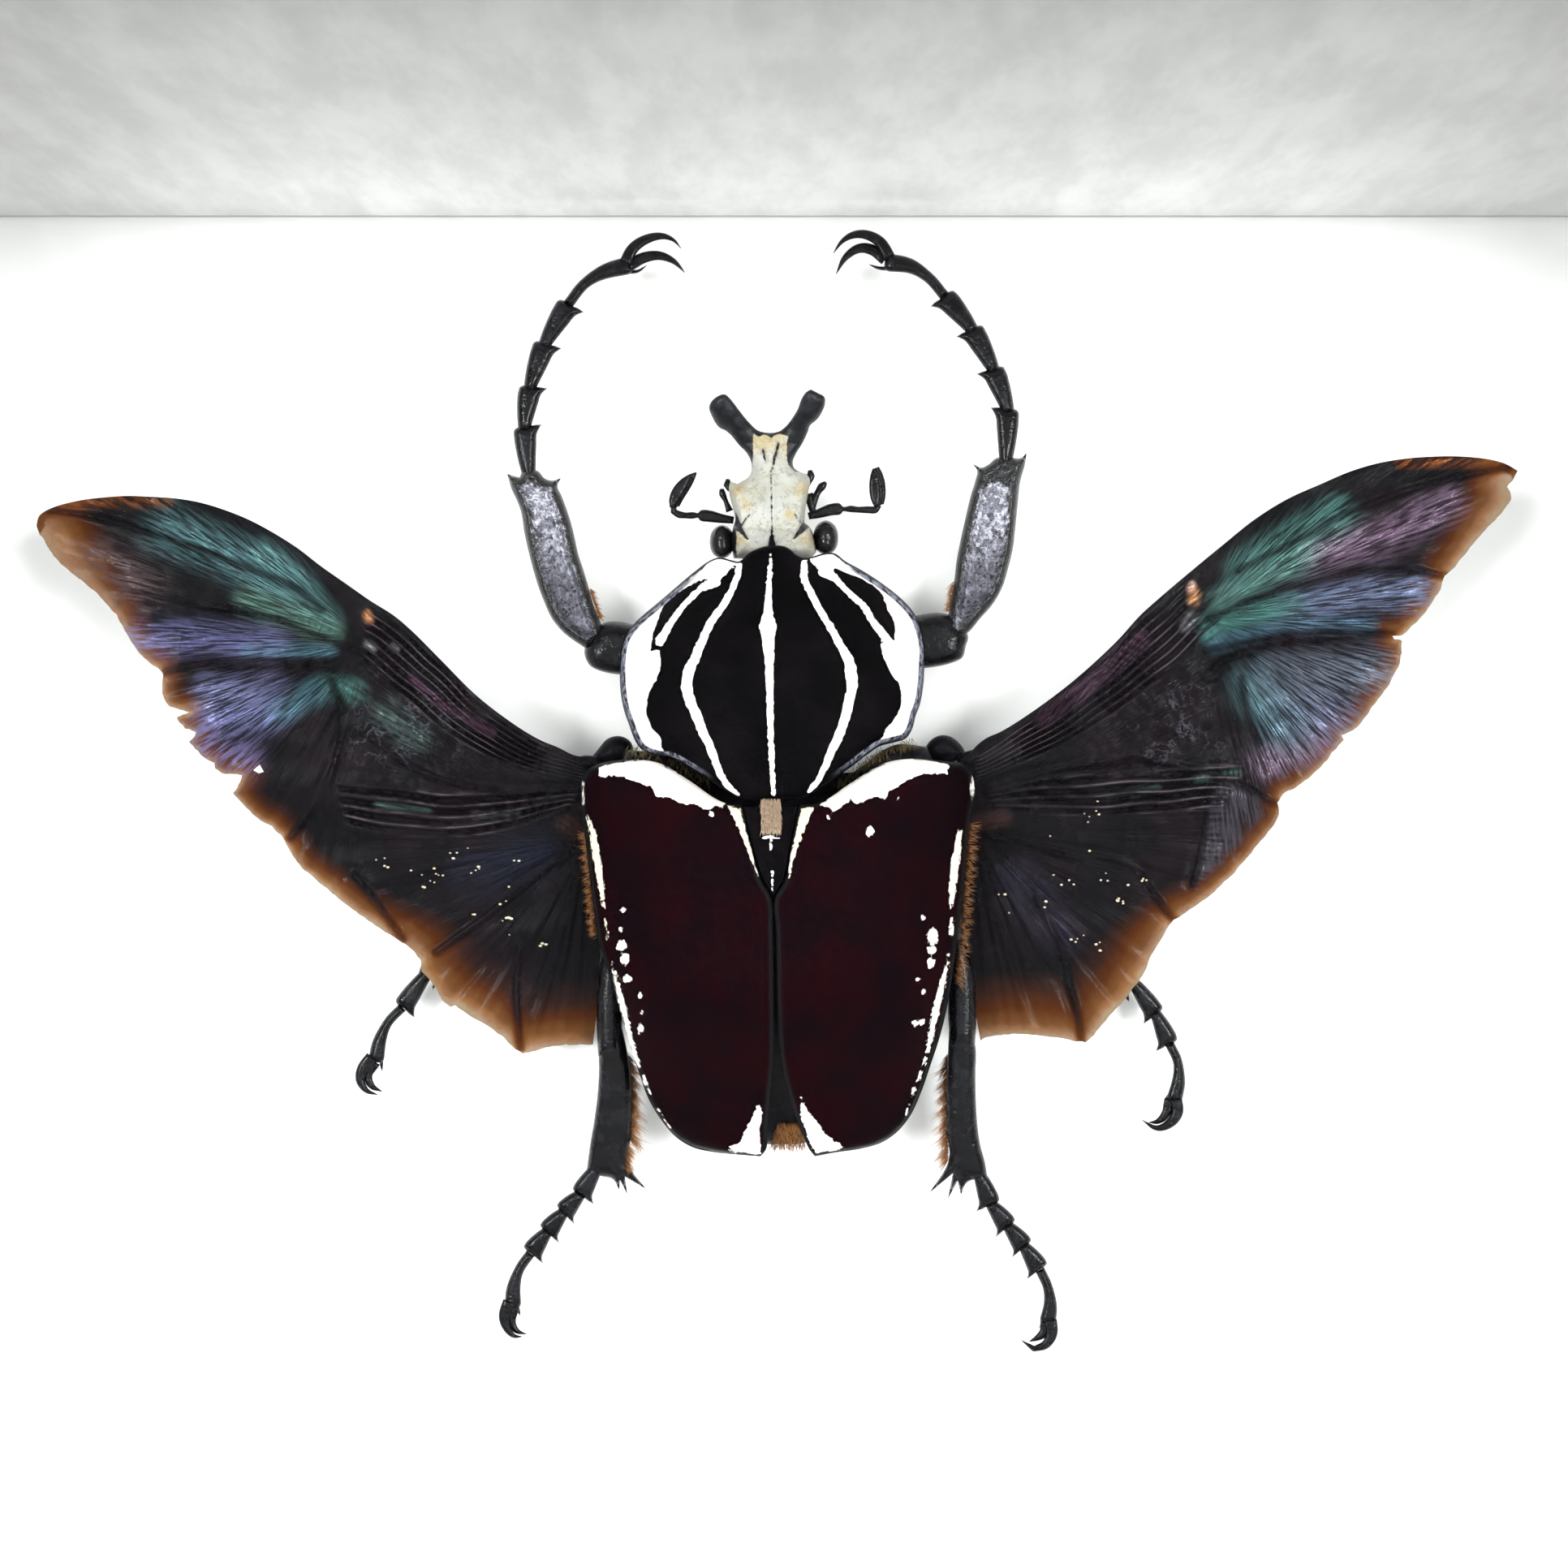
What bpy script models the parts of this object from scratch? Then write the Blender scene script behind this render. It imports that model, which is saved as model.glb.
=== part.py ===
"""A goliath beetle with spread wings, glued to the white board of a glazed wooden shadow box.

The box stands on its bottom rail, faces -Y, and has its origin under its middle.
The beetle is laid out in sheet coordinates (u, v, h): u right and v up in millimetres on the
board, as one eye in front of the box sees them, and h millimetres above the board.
"""

import math

import bmesh
import bpy
from mathutils import Vector
from mathutils.geometry import delaunay_2d_cdt

MM = 0.001
GAP = 0.3 * MM  # between pieces that touch

# Case, in metres
INNER_WIDTH = 0.248
INNER_HEIGHT = 0.197
INNER_DEPTH = 0.057  # length of the liners, from pane to board
LINER = 0.003
RAIL_WALL = 0.010
LIP_REACH = 0.005
LIP_THICKNESS = 0.004
GLASS = 0.002
BOARD = 0.003
PANEL = 0.003
BUTTON_THICKNESS = 0.001
BUTTON_LENGTH = 0.018
BUTTON_WIDTH = 0.007
HANGER_WIDTH = 0.045
HANGER_HEIGHT = 0.009

# Where the eye stands, in front of the board
EYE_DISTANCE = 0.200
EYE_BELOW_CEILING = 0.0698

# Places worked out from those sizes
OUTER_WIDTH = INNER_WIDTH + 2 * (LINER + GAP + RAIL_WALL)
OUTER_HEIGHT = INNER_HEIGHT + 2 * (LINER + GAP + RAIL_WALL)
RAIL_DEPTH = LIP_THICKNESS + GLASS + INNER_DEPTH + BOARD + PANEL + 4 * GAP
BACK = (RAIL_DEPTH + GAP + BUTTON_THICKNESS * 2) / 2 - GAP - BUTTON_THICKNESS * 2
FRONT = BACK - RAIL_DEPTH
GLASS_FRONT = FRONT + LIP_THICKNESS + GAP
LINER_FRONT = GLASS_FRONT + GLASS + GAP
BOARD_FRONT = LINER_FRONT + INNER_DEPTH + GAP
PANEL_FRONT = BOARD_FRONT + BOARD + GAP
EYE_HEIGHT = RAIL_WALL + GAP + LINER + INNER_HEIGHT - EYE_BELOW_CEILING

# Beetle, in sheet millimetres
LEAN = -0.02  # the insect leans a little to the left
MIDDLE_AT_SHOULDER = -0.9
CASES_RIM = 13.0
CASES_TOP = 26.0
SHELL = 1.3
WING_THICKNESS = 0.30
HALF_WIDTHS = [  # (v, half width of the closed wing cases)
    (6.0, 23.0), (1.0, 24.2), (-1.0, 24.2), (-5.0, 23.6), (-8.0, 23.3), (-14.0, 22.9),
    (-20.0, 22.0), (-26.0, 20.6), (-30.0, 19.5), (-34.0, 18.3), (-37.0, 17.2), (-40.0, 15.9),
    (-42.0, 14.7), (-43.5, 13.1), (-44.5, 11.3), (-45.2, 9.0), (-45.7, 6.5), (-46.1, 3.2),
]

ELYTRON_LEFT = [
    (-5.2, -2.6), (-7.4, -2.3), (-11.8, 0.5), (-15.2, 2.5), (-18.5, 3.0), (-22.0, 2.7),
    (-24.0, 1.9), (-24.9, 0.2), (-25.0, -2.0), (-24.6, -6.0), (-24.1, -10.0), (-23.5, -15.0),
    (-22.7, -20.0), (-21.4, -24.0), (-20.2, -28.0), (-19.0, -32.0), (-17.9, -35.5),
    (-16.6, -39.0), (-15.0, -41.6), (-13.2, -43.6), (-11.2, -44.8), (-8.5, -45.4),
    (-5.5, -45.7), (-2.9, -45.9), (-2.2, -45.0), (-2.05, -42.0), (-1.75, -38.5),
    (-1.35, -34.0), (-1.3, -26.0), (-1.4, -18.0), (-1.6, -14.2), (-2.9, -11.8), (-4.2, -7.3),
]
ELYTRON_RIGHT = [
    (1.9, -2.6), (4.2, -2.4), (8.2, 0.1), (12.2, 2.5), (15.5, 3.1), (20.0, 2.8),
    (22.3, 2.4), (23.3, 0.8), (23.5, -1.5), (23.0, -4.0), (22.5, -8.0), (22.2, -12.0),
    (21.8, -16.0), (21.2, -20.0), (20.7, -24.0), (20.0, -28.0), (19.1, -31.5),
    (18.1, -34.5), (17.0, -37.7), (15.6, -40.8), (13.8, -43.0), (11.8, -44.3),
    (9.3, -45.0), (6.5, -45.4), (3.8, -45.9), (3.1, -45.0), (2.1, -42.6), (1.2, -40.0),
    (0.0, -35.8), (-0.5, -32.5), (-0.8, -26.0), (-0.95, -18.0), (-1.1, -14.2),
    (0.2, -11.8), (1.0, -7.3),
]
SCUTELLUM = [(-4.8, -2.9), (1.5, -2.9), (0.6, -7.4), (-0.2, -11.6), (-1.35, -13.6),
             (-2.5, -11.6), (-3.8, -7.4)]
PRONOTUM = [
    (-1.5, 29.4), (-3.2, 29.0), (-4.5, 28.2), (-5.7, 27.4), (-8.2, 27.9), (-9.6, 27.3),
    (-12.5, 25.0), (-15.6, 22.3), (-18.6, 19.6), (-19.8, 17.5), (-20.25, 15.0),
    (-20.1, 11.0), (-19.6, 8.5), (-18.7, 6.0), (-17.4, 4.2), (-14.4, 3.2), (-11.0, 1.6),
    (-8.0, -0.3), (-5.5, -1.7), (-2.5, -2.0), (0.5, -1.9), (2.7, -1.6), (5.2, 0.0),
    (8.0, 1.9), (11.2, 4.4), (13.7, 5.1), (15.2, 5.8), (16.2, 8.3), (17.1, 11.5),
    (17.4, 15.5), (17.1, 18.3), (16.0, 21.1), (12.8, 24.1), (9.5, 26.4), (6.4, 28.4),
    (4.4, 28.4), (2.4, 27.9), (1.5, 28.4), (0.3, 29.2),
]

# Wing outlines: the leading edge from root to tip, then the outer edge back to the root
WING_LEFT_LEADING = [
    (-22.3, 2.3), (-26.0, 3.6), (-30.0, 5.4), (-33.6, 7.6), (-38.0, 11.0), (-42.0, 15.0),
    (-46.0, 19.0), (-51.0, 22.6), (-57.0, 26.8), (-63.0, 31.0), (-69.0, 33.8),
    (-75.0, 35.2), (-81.0, 35.5), (-87.0, 34.9), (-90.7, 33.8), (-92.1, 31.8),
]
WING_LEFT_OUTER = [
    (-90.7, 29.2), (-87.8, 26.0), (-84.0, 22.8), (-81.0, 18.5), (-78.5, 15.2),
    (-76.5, 13.5), (-76.6, 11.4), (-75.7, 9.5), (-73.3, 8.8), (-74.8, 8.0), (-73.8, 6.8),
    (-72.4, 6.3), (-73.2, 5.3), (-70.2, 2.6), (-69.3, 1.3), (-66.8, 1.1), (-67.9, -1.1),
    (-64.8, -4.2), (-62.0, -6.3), (-60.0, -9.6), (-56.0, -13.2), (-50.0, -17.7),
    (-46.3, -20.0), (-44.8, -21.6), (-44.2, -24.0), (-41.1, -27.5), (-36.5, -29.8),
    (-32.2, -33.2), (-28.0, -32.3), (-23.8, -32.1),
]
WING_LEFT_ROOT = [(-23.4, -26.0), (-22.9, -20.0), (-22.4, -14.0), (-22.3, -8.0), (-22.6, -3.0)]
WING_LEFT_HOLE = [(-65.2, 1.6), (-64.6, 2.4), (-64.0, 1.5), (-64.6, 1.35)]
WING_RIGHT_LEADING = [
    (21.3, 2.6), (23.8, 4.7), (28.0, 7.2), (32.0, 9.9), (36.0, 13.0), (41.0, 17.6),
    (46.0, 22.7), (50.0, 26.1), (56.0, 31.1), (62.0, 35.1), (68.0, 37.8), (74.0, 39.7),
    (80.0, 40.3), (86.0, 40.2), (90.4, 38.6),
]
WING_RIGHT_OUTER = [
    (89.1, 36.6), (89.6, 35.1), (87.0, 31.9), (82.3, 26.4), (81.0, 24.3), (78.0, 20.0),
    (76.2, 18.4), (75.0, 18.2), (76.1, 17.6), (75.7, 14.5), (73.5, 10.8), (69.6, 6.3),
    (68.9, 5.4), (66.0, 2.0), (61.5, -1.3), (61.0, -3.2), (60.0, -5.6), (55.0, -11.4),
    (48.0, -16.8), (45.0, -21.6), (43.6, -25.0), (40.5, -28.1), (37.1, -31.9), (31.0, -30.9),
    (24.4, -31.3),
]
WING_RIGHT_ROOT = [(23.6, -26.0), (23.0, -20.0), (21.7, -14.0), (21.4, -8.0), (21.4, -3.0)]

# Legs: shin stations are (left edge, right edge), tarsus joints are points, then curved claws
LEGS = {
    "foreleg_left": {
        "heights": (6.0, 5.2, 5.0),
        "thigh": [((-17.2, 14.3), (-17.2, 19.6), 5.0), ((-20.3, 13.6), (-20.0, 19.7), 5.0),
                  ((-23.4, 14.2), (-22.3, 19.8), 5.0), ((-24.6, 16.4), (-23.6, 18.6), 4.0)],
        "shin": [((-24.6, 16.2), (-21.9, 18.7)), ((-27.6, 19.2), (-23.2, 21.2)),
                 ((-29.5, 22.3), (-24.0, 24.2)), ((-31.1, 27.2), (-25.2, 28.2)),
                 ((-32.1, 31.6), (-26.3, 32.3)), ((-33.1, 35.6), (-27.4, 35.6)),
                 ((-33.6, 37.6), (-28.2, 37.2))],
        "spines": [((-33.0, 36.2), (-34.1, 38.2), 1.3), ((-28.7, 36.4), (-27.4, 37.7), 1.2)],
        "tarsus": [(-31.4, 37.6), (-32.0, 43.9), (-31.3, 48.9), (-29.5, 54.2), (-26.6, 59.1)],
        "foot": [(-26.6, 59.1), (-23.4, 62.1), (-19.2, 64.1)],
        "inner": 1,
        "width": 2.1,
        "claws": [[(-19.4, 64.2), (-17.7, 66.3), (-15.0, 67.6), (-12.7, 66.0)],
                  [(-19.2, 64.0), (-16.9, 64.9), (-14.4, 64.8), (-12.2, 63.0)],
                  [(-19.4, 63.4), (-18.1, 63.4), (-16.9, 63.9)]],
    },
    "foreleg_right": {
        "heights": (6.0, 5.2, 5.0),
        "thigh": [((14.4, 20.4), (14.4, 14.9), 5.0), ((17.3, 20.7), (17.5, 14.3), 5.0),
                  ((20.2, 20.9), (21.6, 15.3), 5.0), ((21.6, 19.6), (22.6, 17.4), 4.0)],
        "shin": [((20.2, 20.2), (22.8, 18.7)), ((20.7, 22.6), (25.6, 22.0)),
                 ((21.1, 25.4), (27.3, 25.4)), ((21.7, 29.5), (28.2, 29.2)),
                 ((22.6, 33.6), (28.7, 33.4)), ((23.6, 37.3), (29.2, 37.4)),
                 ((24.2, 38.9), (29.3, 39.6))],
        "spines": [((28.6, 38.2), (29.9, 40.8), 1.4), ((24.7, 38.0), (23.3, 39.4), 1.2)],
        "tarsus": [(27.3, 39.4), (27.6, 46.1), (25.8, 51.1), (23.2, 56.0), (19.8, 60.1)],
        "foot": [(19.8, 60.1), (17.0, 62.7), (12.6, 64.5)],
        "inner": -1,
        "width": 2.1,
        "claws": [[(12.8, 64.9), (11.5, 67.0), (9.0, 68.0), (6.1, 65.4)],
                  [(12.3, 64.7), (10.8, 66.0), (8.5, 66.0), (6.4, 62.8)],
                  [(12.8, 63.6), (11.6, 63.9), (10.5, 64.0)]],
    },
    "midleg_left": {
        "heights": (3.6, 3.2, 3.0),
        "thigh": [((-22.0, -3.0), (-21.8, -8.4), 4.2), ((-27.0, -5.0), (-26.0, -10.2), 4.0),
                  ((-33.0, -8.6), (-31.5, -13.2), 3.4)],
        "shin": [((-31.6, -9.2), (-30.6, -12.4)), ((-36.5, -13.6), (-34.8, -16.2)),
                 ((-41.0, -18.4), (-38.8, -20.8)), ((-44.7, -22.8), (-42.4, -24.2))],
        "spines": [((-43.2, -23.6), (-43.4, -25.2), 0.9), ((-44.6, -22.6), (-45.2, -24.2), 0.8)],
        "tarsus": [(-44.0, -23.4), (-47.0, -27.3)],
        "foot": [(-47.0, -27.3), (-49.4, -30.6), (-50.3, -34.2)],
        "inner": -1,
        "width": 2.2,
        "claws": [[(-50.6, -33.9), (-52.0, -35.6), (-51.8, -37.5), (-50.0, -38.3)],
                  [(-50.5, -34.2), (-51.3, -35.9), (-50.8, -37.2), (-49.5, -37.9)],
                  [(-49.6, -33.8), (-49.6, -34.6), (-49.5, -35.4)]],
    },
    "midleg_right": {
        "heights": (3.6, 3.2, 3.0),
        "thigh": [((21.0, -3.0), (20.8, -8.4), 4.2), ((26.0, -5.4), (25.0, -10.6), 4.0),
                  ((31.6, -9.6), (30.0, -14.0), 3.4)],
        "shin": [((30.4, -10.2), (29.2, -13.2)), ((34.8, -15.2), (32.8, -17.6)),
                 ((39.2, -19.6), (37.2, -22.2)), ((43.8, -24.2), (41.6, -25.6))],
        "spines": [((42.2, -25.0), (42.5, -26.7), 0.9), ((43.2, -24.2), (44.2, -25.2), 0.9)],
        "tarsus": [(43.0, -24.6), (45.8, -28.1), (47.5, -32.0)],
        "foot": [(47.5, -32.0), (48.5, -35.6), (48.0, -39.0)],
        "inner": 1,
        "width": 2.2,
        "claws": [[(48.3, -38.8), (48.3, -40.8), (46.3, -42.2), (44.1, -41.4)],
                  [(47.6, -38.8), (47.1, -40.6), (46.0, -41.6), (44.9, -41.7)],
                  [(47.4, -38.4), (47.0, -39.1), (46.7, -39.6)]],
    },
    "hindleg_left": {
        "heights": (8.8, 5.2, 3.8),
        "thigh": [((-22.2, -19.0), (-20.5, -18.6), 2.6), ((-23.0, -23.0), (-20.2, -22.6), 3.2),
                  ((-23.1, -28.0), (-20.0, -28.0), 3.4), ((-22.9, -33.3), (-20.3, -33.0), 3.0)],
        "shin": [((-22.3, -30.6), (-20.2, -29.4)), ((-22.5, -33.4), (-19.5, -32.6)),
                 ((-22.6, -37.5), (-19.1, -37.0)), ((-23.0, -41.5), (-19.0, -41.5)),
                 ((-23.7, -45.0), (-19.2, -45.4)), ((-24.1, -47.6), (-20.2, -48.4))],
        "spines": [((-21.2, -47.6), (-20.3, -50.0), 1.0), ((-20.1, -47.0), (-19.3, -50.6), 1.1),
                   ((-20.2, -46.6), (-17.0, -49.9), 1.2)],
        "tarsus": [(-23.0, -47.4), (-25.1, -50.4), (-27.2, -52.6), (-29.2, -55.0),
                   (-31.2, -57.6)],
        "foot": [(-31.2, -57.6), (-33.1, -61.0), (-33.4, -64.4)],
        "inner": -1,
        "width": 2.2,
        "claws": [[(-33.8, -63.9), (-34.3, -66.0), (-33.6, -67.7), (-32.2, -68.1)],
                  [(-33.4, -64.3), (-33.6, -66.3), (-32.9, -67.4), (-31.7, -67.8)],
                  [(-32.9, -64.2), (-32.7, -64.9), (-32.5, -65.5)]],
    },
    "hindleg_right": {
        "heights": (8.8, 5.2, 3.8),
        "thigh": [((20.7, -19.2), (22.3, -19.6), 2.6), ((20.4, -22.0), (23.2, -22.6), 3.2),
                  ((20.3, -27.6), (23.5, -27.6), 3.4), ((20.5, -32.4), (23.5, -32.4), 3.0)],
        "shin": [((20.4, -29.4), (22.9, -29.8)), ((20.2, -33.0), (23.6, -33.0)),
                 ((20.0, -38.0), (23.6, -38.0)), ((20.1, -43.0), (24.0, -43.0)),
                 ((20.3, -46.6), (24.8, -46.6)), ((21.0, -48.8), (25.1, -48.7))],
        "spines": [((20.9, -48.0), (20.2, -51.1), 1.0), ((22.1, -48.2), (21.8, -50.5), 1.0),
                   ((20.9, -47.3), (17.9, -50.4), 1.2)],
        "tarsus": [(24.0, -48.2), (25.5, -51.6), (27.6, -54.3), (29.6, -56.8), (31.5, -59.6)],
        "foot": [(31.5, -59.6), (32.6, -63.0), (32.5, -66.4)],
        "inner": 1,
        "width": 2.2,
        "claws": [[(32.8, -66.0), (32.7, -68.2), (31.2, -69.6), (29.2, -68.5)],
                  [(32.3, -66.2), (32.1, -67.5), (31.3, -68.2), (30.2, -68.7)],
                  [(31.9, -66.0), (31.7, -66.6), (31.4, -67.0)]],
    },
}

# Head: (v, left edge, right edge, top height, underside height)
HEAD = [
    (28.1, -5.7, 2.9, 12.6, 6.0), (29.4, -6.4, 3.9, 13.2, 5.0), (31.6, -6.2, 3.4, 14.6, 5.0),
    (33.4, -6.1, 2.6, 14.6, 5.6), (36.0, -6.7, 2.9, 13.8, 6.6), (37.3, -6.0, 2.8, 13.2, 7.4),
    (38.6, -4.4, 1.7, 12.6, 8.4), (39.8, -4.1, 1.1, 12.2, 9.0), (41.4, -5.2, 1.9, 12.2, 9.4),
    (42.9, -6.3, 2.8, 12.6, 10.0),
]
PRONGS = {  # (left edge, right edge, centre height)
    "left": [((-5.2, 41.4), (-2.2, 43.2), 10.8), ((-6.6, 43.0), (-3.6, 43.9), 11.6),
             ((-8.3, 44.2), (-5.1, 45.6), 13.2), ((-9.2, 46.2), (-6.2, 47.1), 14.6),
             ((-8.6, 47.6), (-7.2, 48.1), 15.4)],
    "right": [((-1.2, 43.2), (2.2, 41.8), 10.8), ((0.3, 44.2), (3.2, 43.8), 11.6),
              ((1.2, 45.5), (4.3, 45.1), 13.2), ((2.1, 47.3), (5.0, 46.8), 14.6),
              ((3.1, 48.6), (4.9, 47.8), 15.4)],
}
EYES = {"left": (-7.4, 29.8, 8.8), "right": (4.9, 30.4, 8.8)}
EYE_RADII = (1.65, 1.9, 2.0)
PALPS = [(-6.8, 37.2, 9.6, 0.55, 1.0), (-7.6, 36.0, 9.2, 0.4, 0.8),
         (3.1, 38.0, 9.6, 0.55, 0.9), (4.6, 36.6, 9.2, 0.5, 0.9)]
ANTENNAE = {  # (u, v, width), from the scape to the elbow, then along the club to its tip
    "antenna_left": [(-7.1, 32.6, 0.7), (-8.6, 32.9, 1.3), (-9.9, 33.0, 1.3), (-10.4, 33.1, 0.9),
                     (-12.8, 33.2, 0.95), (-13.5, 34.0, 1.1), (-13.2, 35.2, 1.6),
                     (-12.5, 36.4, 1.9), (-11.7, 37.5, 1.3), (-11.1, 38.2, 0.4)],
    "antenna_right": [(3.7, 33.3, 0.7), (5.2, 33.7, 1.3), (6.8, 33.9, 1.4), (7.4, 33.9, 0.9),
                      (10.2, 33.8, 0.95), (11.4, 33.9, 1.1), (11.5, 34.8, 1.4),
                      (11.5, 36.2, 1.9), (11.4, 37.8, 1.4), (11.3, 38.9, 0.4)],
}
ANTENNA_HEIGHT = 10.0


def clear_scene():
    for item in list(bpy.data.objects):
        bpy.data.objects.remove(item, do_unlink=True)


def seen(u, v, h):
    """World place of a sheet point: the nearer to the eye, the closer to the line of sight."""
    scale = MM * (1.0 - h * MM / EYE_DISTANCE)
    return Vector((u * scale, BOARD_FRONT - h * MM, EYE_HEIGHT + v * scale))


def finish(name, color, roughness, metallic=0.0, alpha=1.0):
    mat = bpy.data.materials.new(name)
    mat.use_nodes = True
    shader = mat.node_tree.nodes["Principled BSDF"]
    shader.inputs["Base Color"].default_value = (*color, 1.0)
    shader.inputs["Roughness"].default_value = roughness
    shader.inputs["Metallic"].default_value = metallic
    shader.inputs["Alpha"].default_value = alpha
    return mat


def solid(name, points, faces, mat, smooth=True):
    """An object from points and faces, with its faces turned outwards."""
    mesh = bpy.data.meshes.new(name)
    mesh.from_pydata([tuple(p) for p in points], [], faces)
    bm = bmesh.new()
    bm.from_mesh(mesh)
    bmesh.ops.recalc_face_normals(bm, faces=bm.faces)
    bm.to_mesh(mesh)
    bm.free()
    obj = bpy.data.objects.new(name, mesh)
    bpy.context.scene.collection.objects.link(obj)
    mesh.materials.append(mat)
    if smooth:
        mesh.shade_smooth()
        mesh.set_sharp_from_angle(angle=math.radians(40))
    return obj


def box(name, low, high, mat):
    points = [(x, y, z) for x in (low[0], high[0]) for y in (low[1], high[1])
              for z in (low[2], high[2])]
    faces = [(0, 1, 3, 2), (4, 6, 7, 5), (0, 4, 5, 1), (2, 3, 7, 6), (0, 2, 6, 4), (1, 5, 7, 3)]
    return solid(name, points, faces, mat, smooth=False)


def loft(rings):
    """Points and faces of a closed skin over rings with the same number of points."""
    points = [p for ring in rings for p in ring]
    count = len(rings[0])
    faces = []
    for i in range(len(rings) - 1):
        for k in range(count):
            a, b = i * count + k, i * count + (k + 1) % count
            faces.append((a, b, b + count, a + count))
    faces.append(tuple(range(count))[::-1])
    faces.append(tuple(range((len(rings) - 1) * count, len(rings) * count)))
    return points, faces


def bar_ring(left, right, height, thickness, sides):
    """An oval ring across a limb, from its left edge to its right edge in the sheet."""
    ring = []
    for k in range(sides):
        angle = 2 * math.pi * k / sides
        t = 0.5 - 0.5 * math.cos(angle)
        u = left[0] + (right[0] - left[0]) * t
        v = left[1] + (right[1] - left[1]) * t
        ring.append(seen(u, v, height + 0.5 * thickness * math.sin(angle)))
    return ring


def tube_rings(path, widths, heights, sides, flatness=0.9):
    """Oval rings along a path in the sheet."""
    rings = []
    for i, (u, v) in enumerate(path):
        before, after = path[max(i - 1, 0)], path[min(i + 1, len(path) - 1)]
        du, dv = after[0] - before[0], after[1] - before[1]
        length = math.hypot(du, dv)
        nu, nv = -dv / length * widths[i] / 2, du / length * widths[i] / 2
        rings.append(bar_ring((u + nu, v + nv), (u - nu, v - nv), heights[i],
                              widths[i] * flatness, sides))
    return rings


def between(table, x):
    """Straight-line reading of a table of (x, y) whose x falls."""
    for (x0, y0), (x1, y1) in zip(table, table[1:]):
        if x >= x1:
            return y0 + (y1 - y0) * min(max((x0 - x) / (x0 - x1), 0.0), 1.0)
    return table[-1][1]


def ease(x, low, high):
    t = min(max((x - low) / (high - low), 0.0), 1.0)
    return t * t * (3 - 2 * t)


def middle(v):
    return MIDDLE_AT_SHOULDER + LEAN * v


def case_height(u, v):
    """Height of the closed wing cases above the board."""
    across = min(abs(u - middle(v)) / between(HALF_WIDTHS, v), 1.0)
    dome = math.sqrt(1.0 - across ** 2.4)
    along = (1.0 - 0.22 * ease(v, -9.0, 3.0)) * (1.0 - 0.62 * ease(-v, 22.0, 46.5))
    return CASES_RIM - 4.0 * ease(-v, 26.0, 46.0) + (CASES_TOP - CASES_RIM) * dome * along


def shield_rim(u, v):
    """Height of the pronotum's edge."""
    across = min(abs(u + 1.4) / 19.0, 1.0)
    front = 5.0 * ease(v, 19.0, 29.0) * (1.0 - across ** 2)
    rear = 12.5 * ease(-v, -12.0, 2.0) * (1.0 - across ** 4)
    return 10.0 + front + rear


def shield_height(u, v, reach, rim):
    top = 24.6 - 5.5 * ease(v, 12.0, 30.0)
    return rim + (top - rim) * math.sqrt(max(1.0 - reach ** 2.3, 0.0))


def wing_height(u, v):
    out = abs(u) - 22.0
    drop = 6.6 * min(max((3.0 - v) / 35.0, 0.0), 1.0) ** 0.9
    waves = 0.35 * math.sin(0.55 * v - 0.12 * out) * ease(out, 2.0, 12.0)
    return 11.2 + 0.02 * out - drop + waves


def plate(name, outline, centre, height, steps, under_steps, thickness, inset, mat):
    """A domed plate: rings from its centre to its outline, with an underside inside it."""
    cu, cv = centre
    rings = []
    for reach in steps:
        rings.append([(cu + (u - cu) * reach, cv + (v - cv) * reach) for u, v in outline])
    top = [[seen(u, v, height(u, v)) for u, v in ring] for ring in rings]
    under = []
    for reach in reversed(under_steps):
        ring = [(cu + (u - cu) * reach * inset, cv + (v - cv) * reach * inset)
                for u, v in outline]
        under.append([seen(u, v, height(u, v) - thickness) for u, v in ring])
    points, faces = loft(top + under)
    return solid(name, points, faces, mat)


def distance_to(u, v, line):
    best = 1e9
    for (u0, v0), (u1, v1) in zip(line, line[1:]):
        du, dv = u1 - u0, v1 - v0
        t = min(max(((u - u0) * du + (v - v0) * dv) / (du * du + dv * dv), 0.0), 1.0)
        best = min(best, math.hypot(u - u0 - t * du, v - v0 - t * dv))
    return best


def inside(u, v, outline):
    odd = False
    for (u0, v0), (u1, v1) in zip(outline, outline[1:] + outline[:1]):
        if (v0 > v) != (v1 > v) and u < u0 + (v - v0) * (u1 - u0) / (v1 - v0):
            odd = not odd
    return odd


def sheet_mesh(outline, holes, spacing):
    """Triangles that fill an outline, with its holes left open."""
    loops = [outline] + holes
    points = [p for loop in loops for p in loop]
    edges, start = [], 0
    for loop in loops:
        edges += [(start + i, start + (i + 1) % len(loop)) for i in range(len(loop))]
        start += len(loop)
    us, vs = [p[0] for p in outline], [p[1] for p in outline]
    row, v = 0, min(vs)
    while v < max(vs):
        u = min(us) + spacing * (row % 2) / 2
        while u < max(us):
            clear = min(distance_to(u, v, loop + loop[:1]) for loop in loops)
            if inside(u, v, outline) and clear > 0.55 * spacing:
                points.append((u, v))
            u += spacing
        v += spacing * 0.87
        row += 1
    found = delaunay_2d_cdt([Vector(p) for p in points], edges, [], 0, 1e-5)
    verts = [(p.x, p.y) for p in found[0]]
    faces = []
    for face in found[2]:
        cu = sum(verts[i][0] for i in face) / 3
        cv = sum(verts[i][1] for i in face) / 3
        if inside(cu, cv, outline) and not any(inside(cu, cv, hole) for hole in holes):
            faces.append(tuple(face))
    return verts, faces


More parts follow.
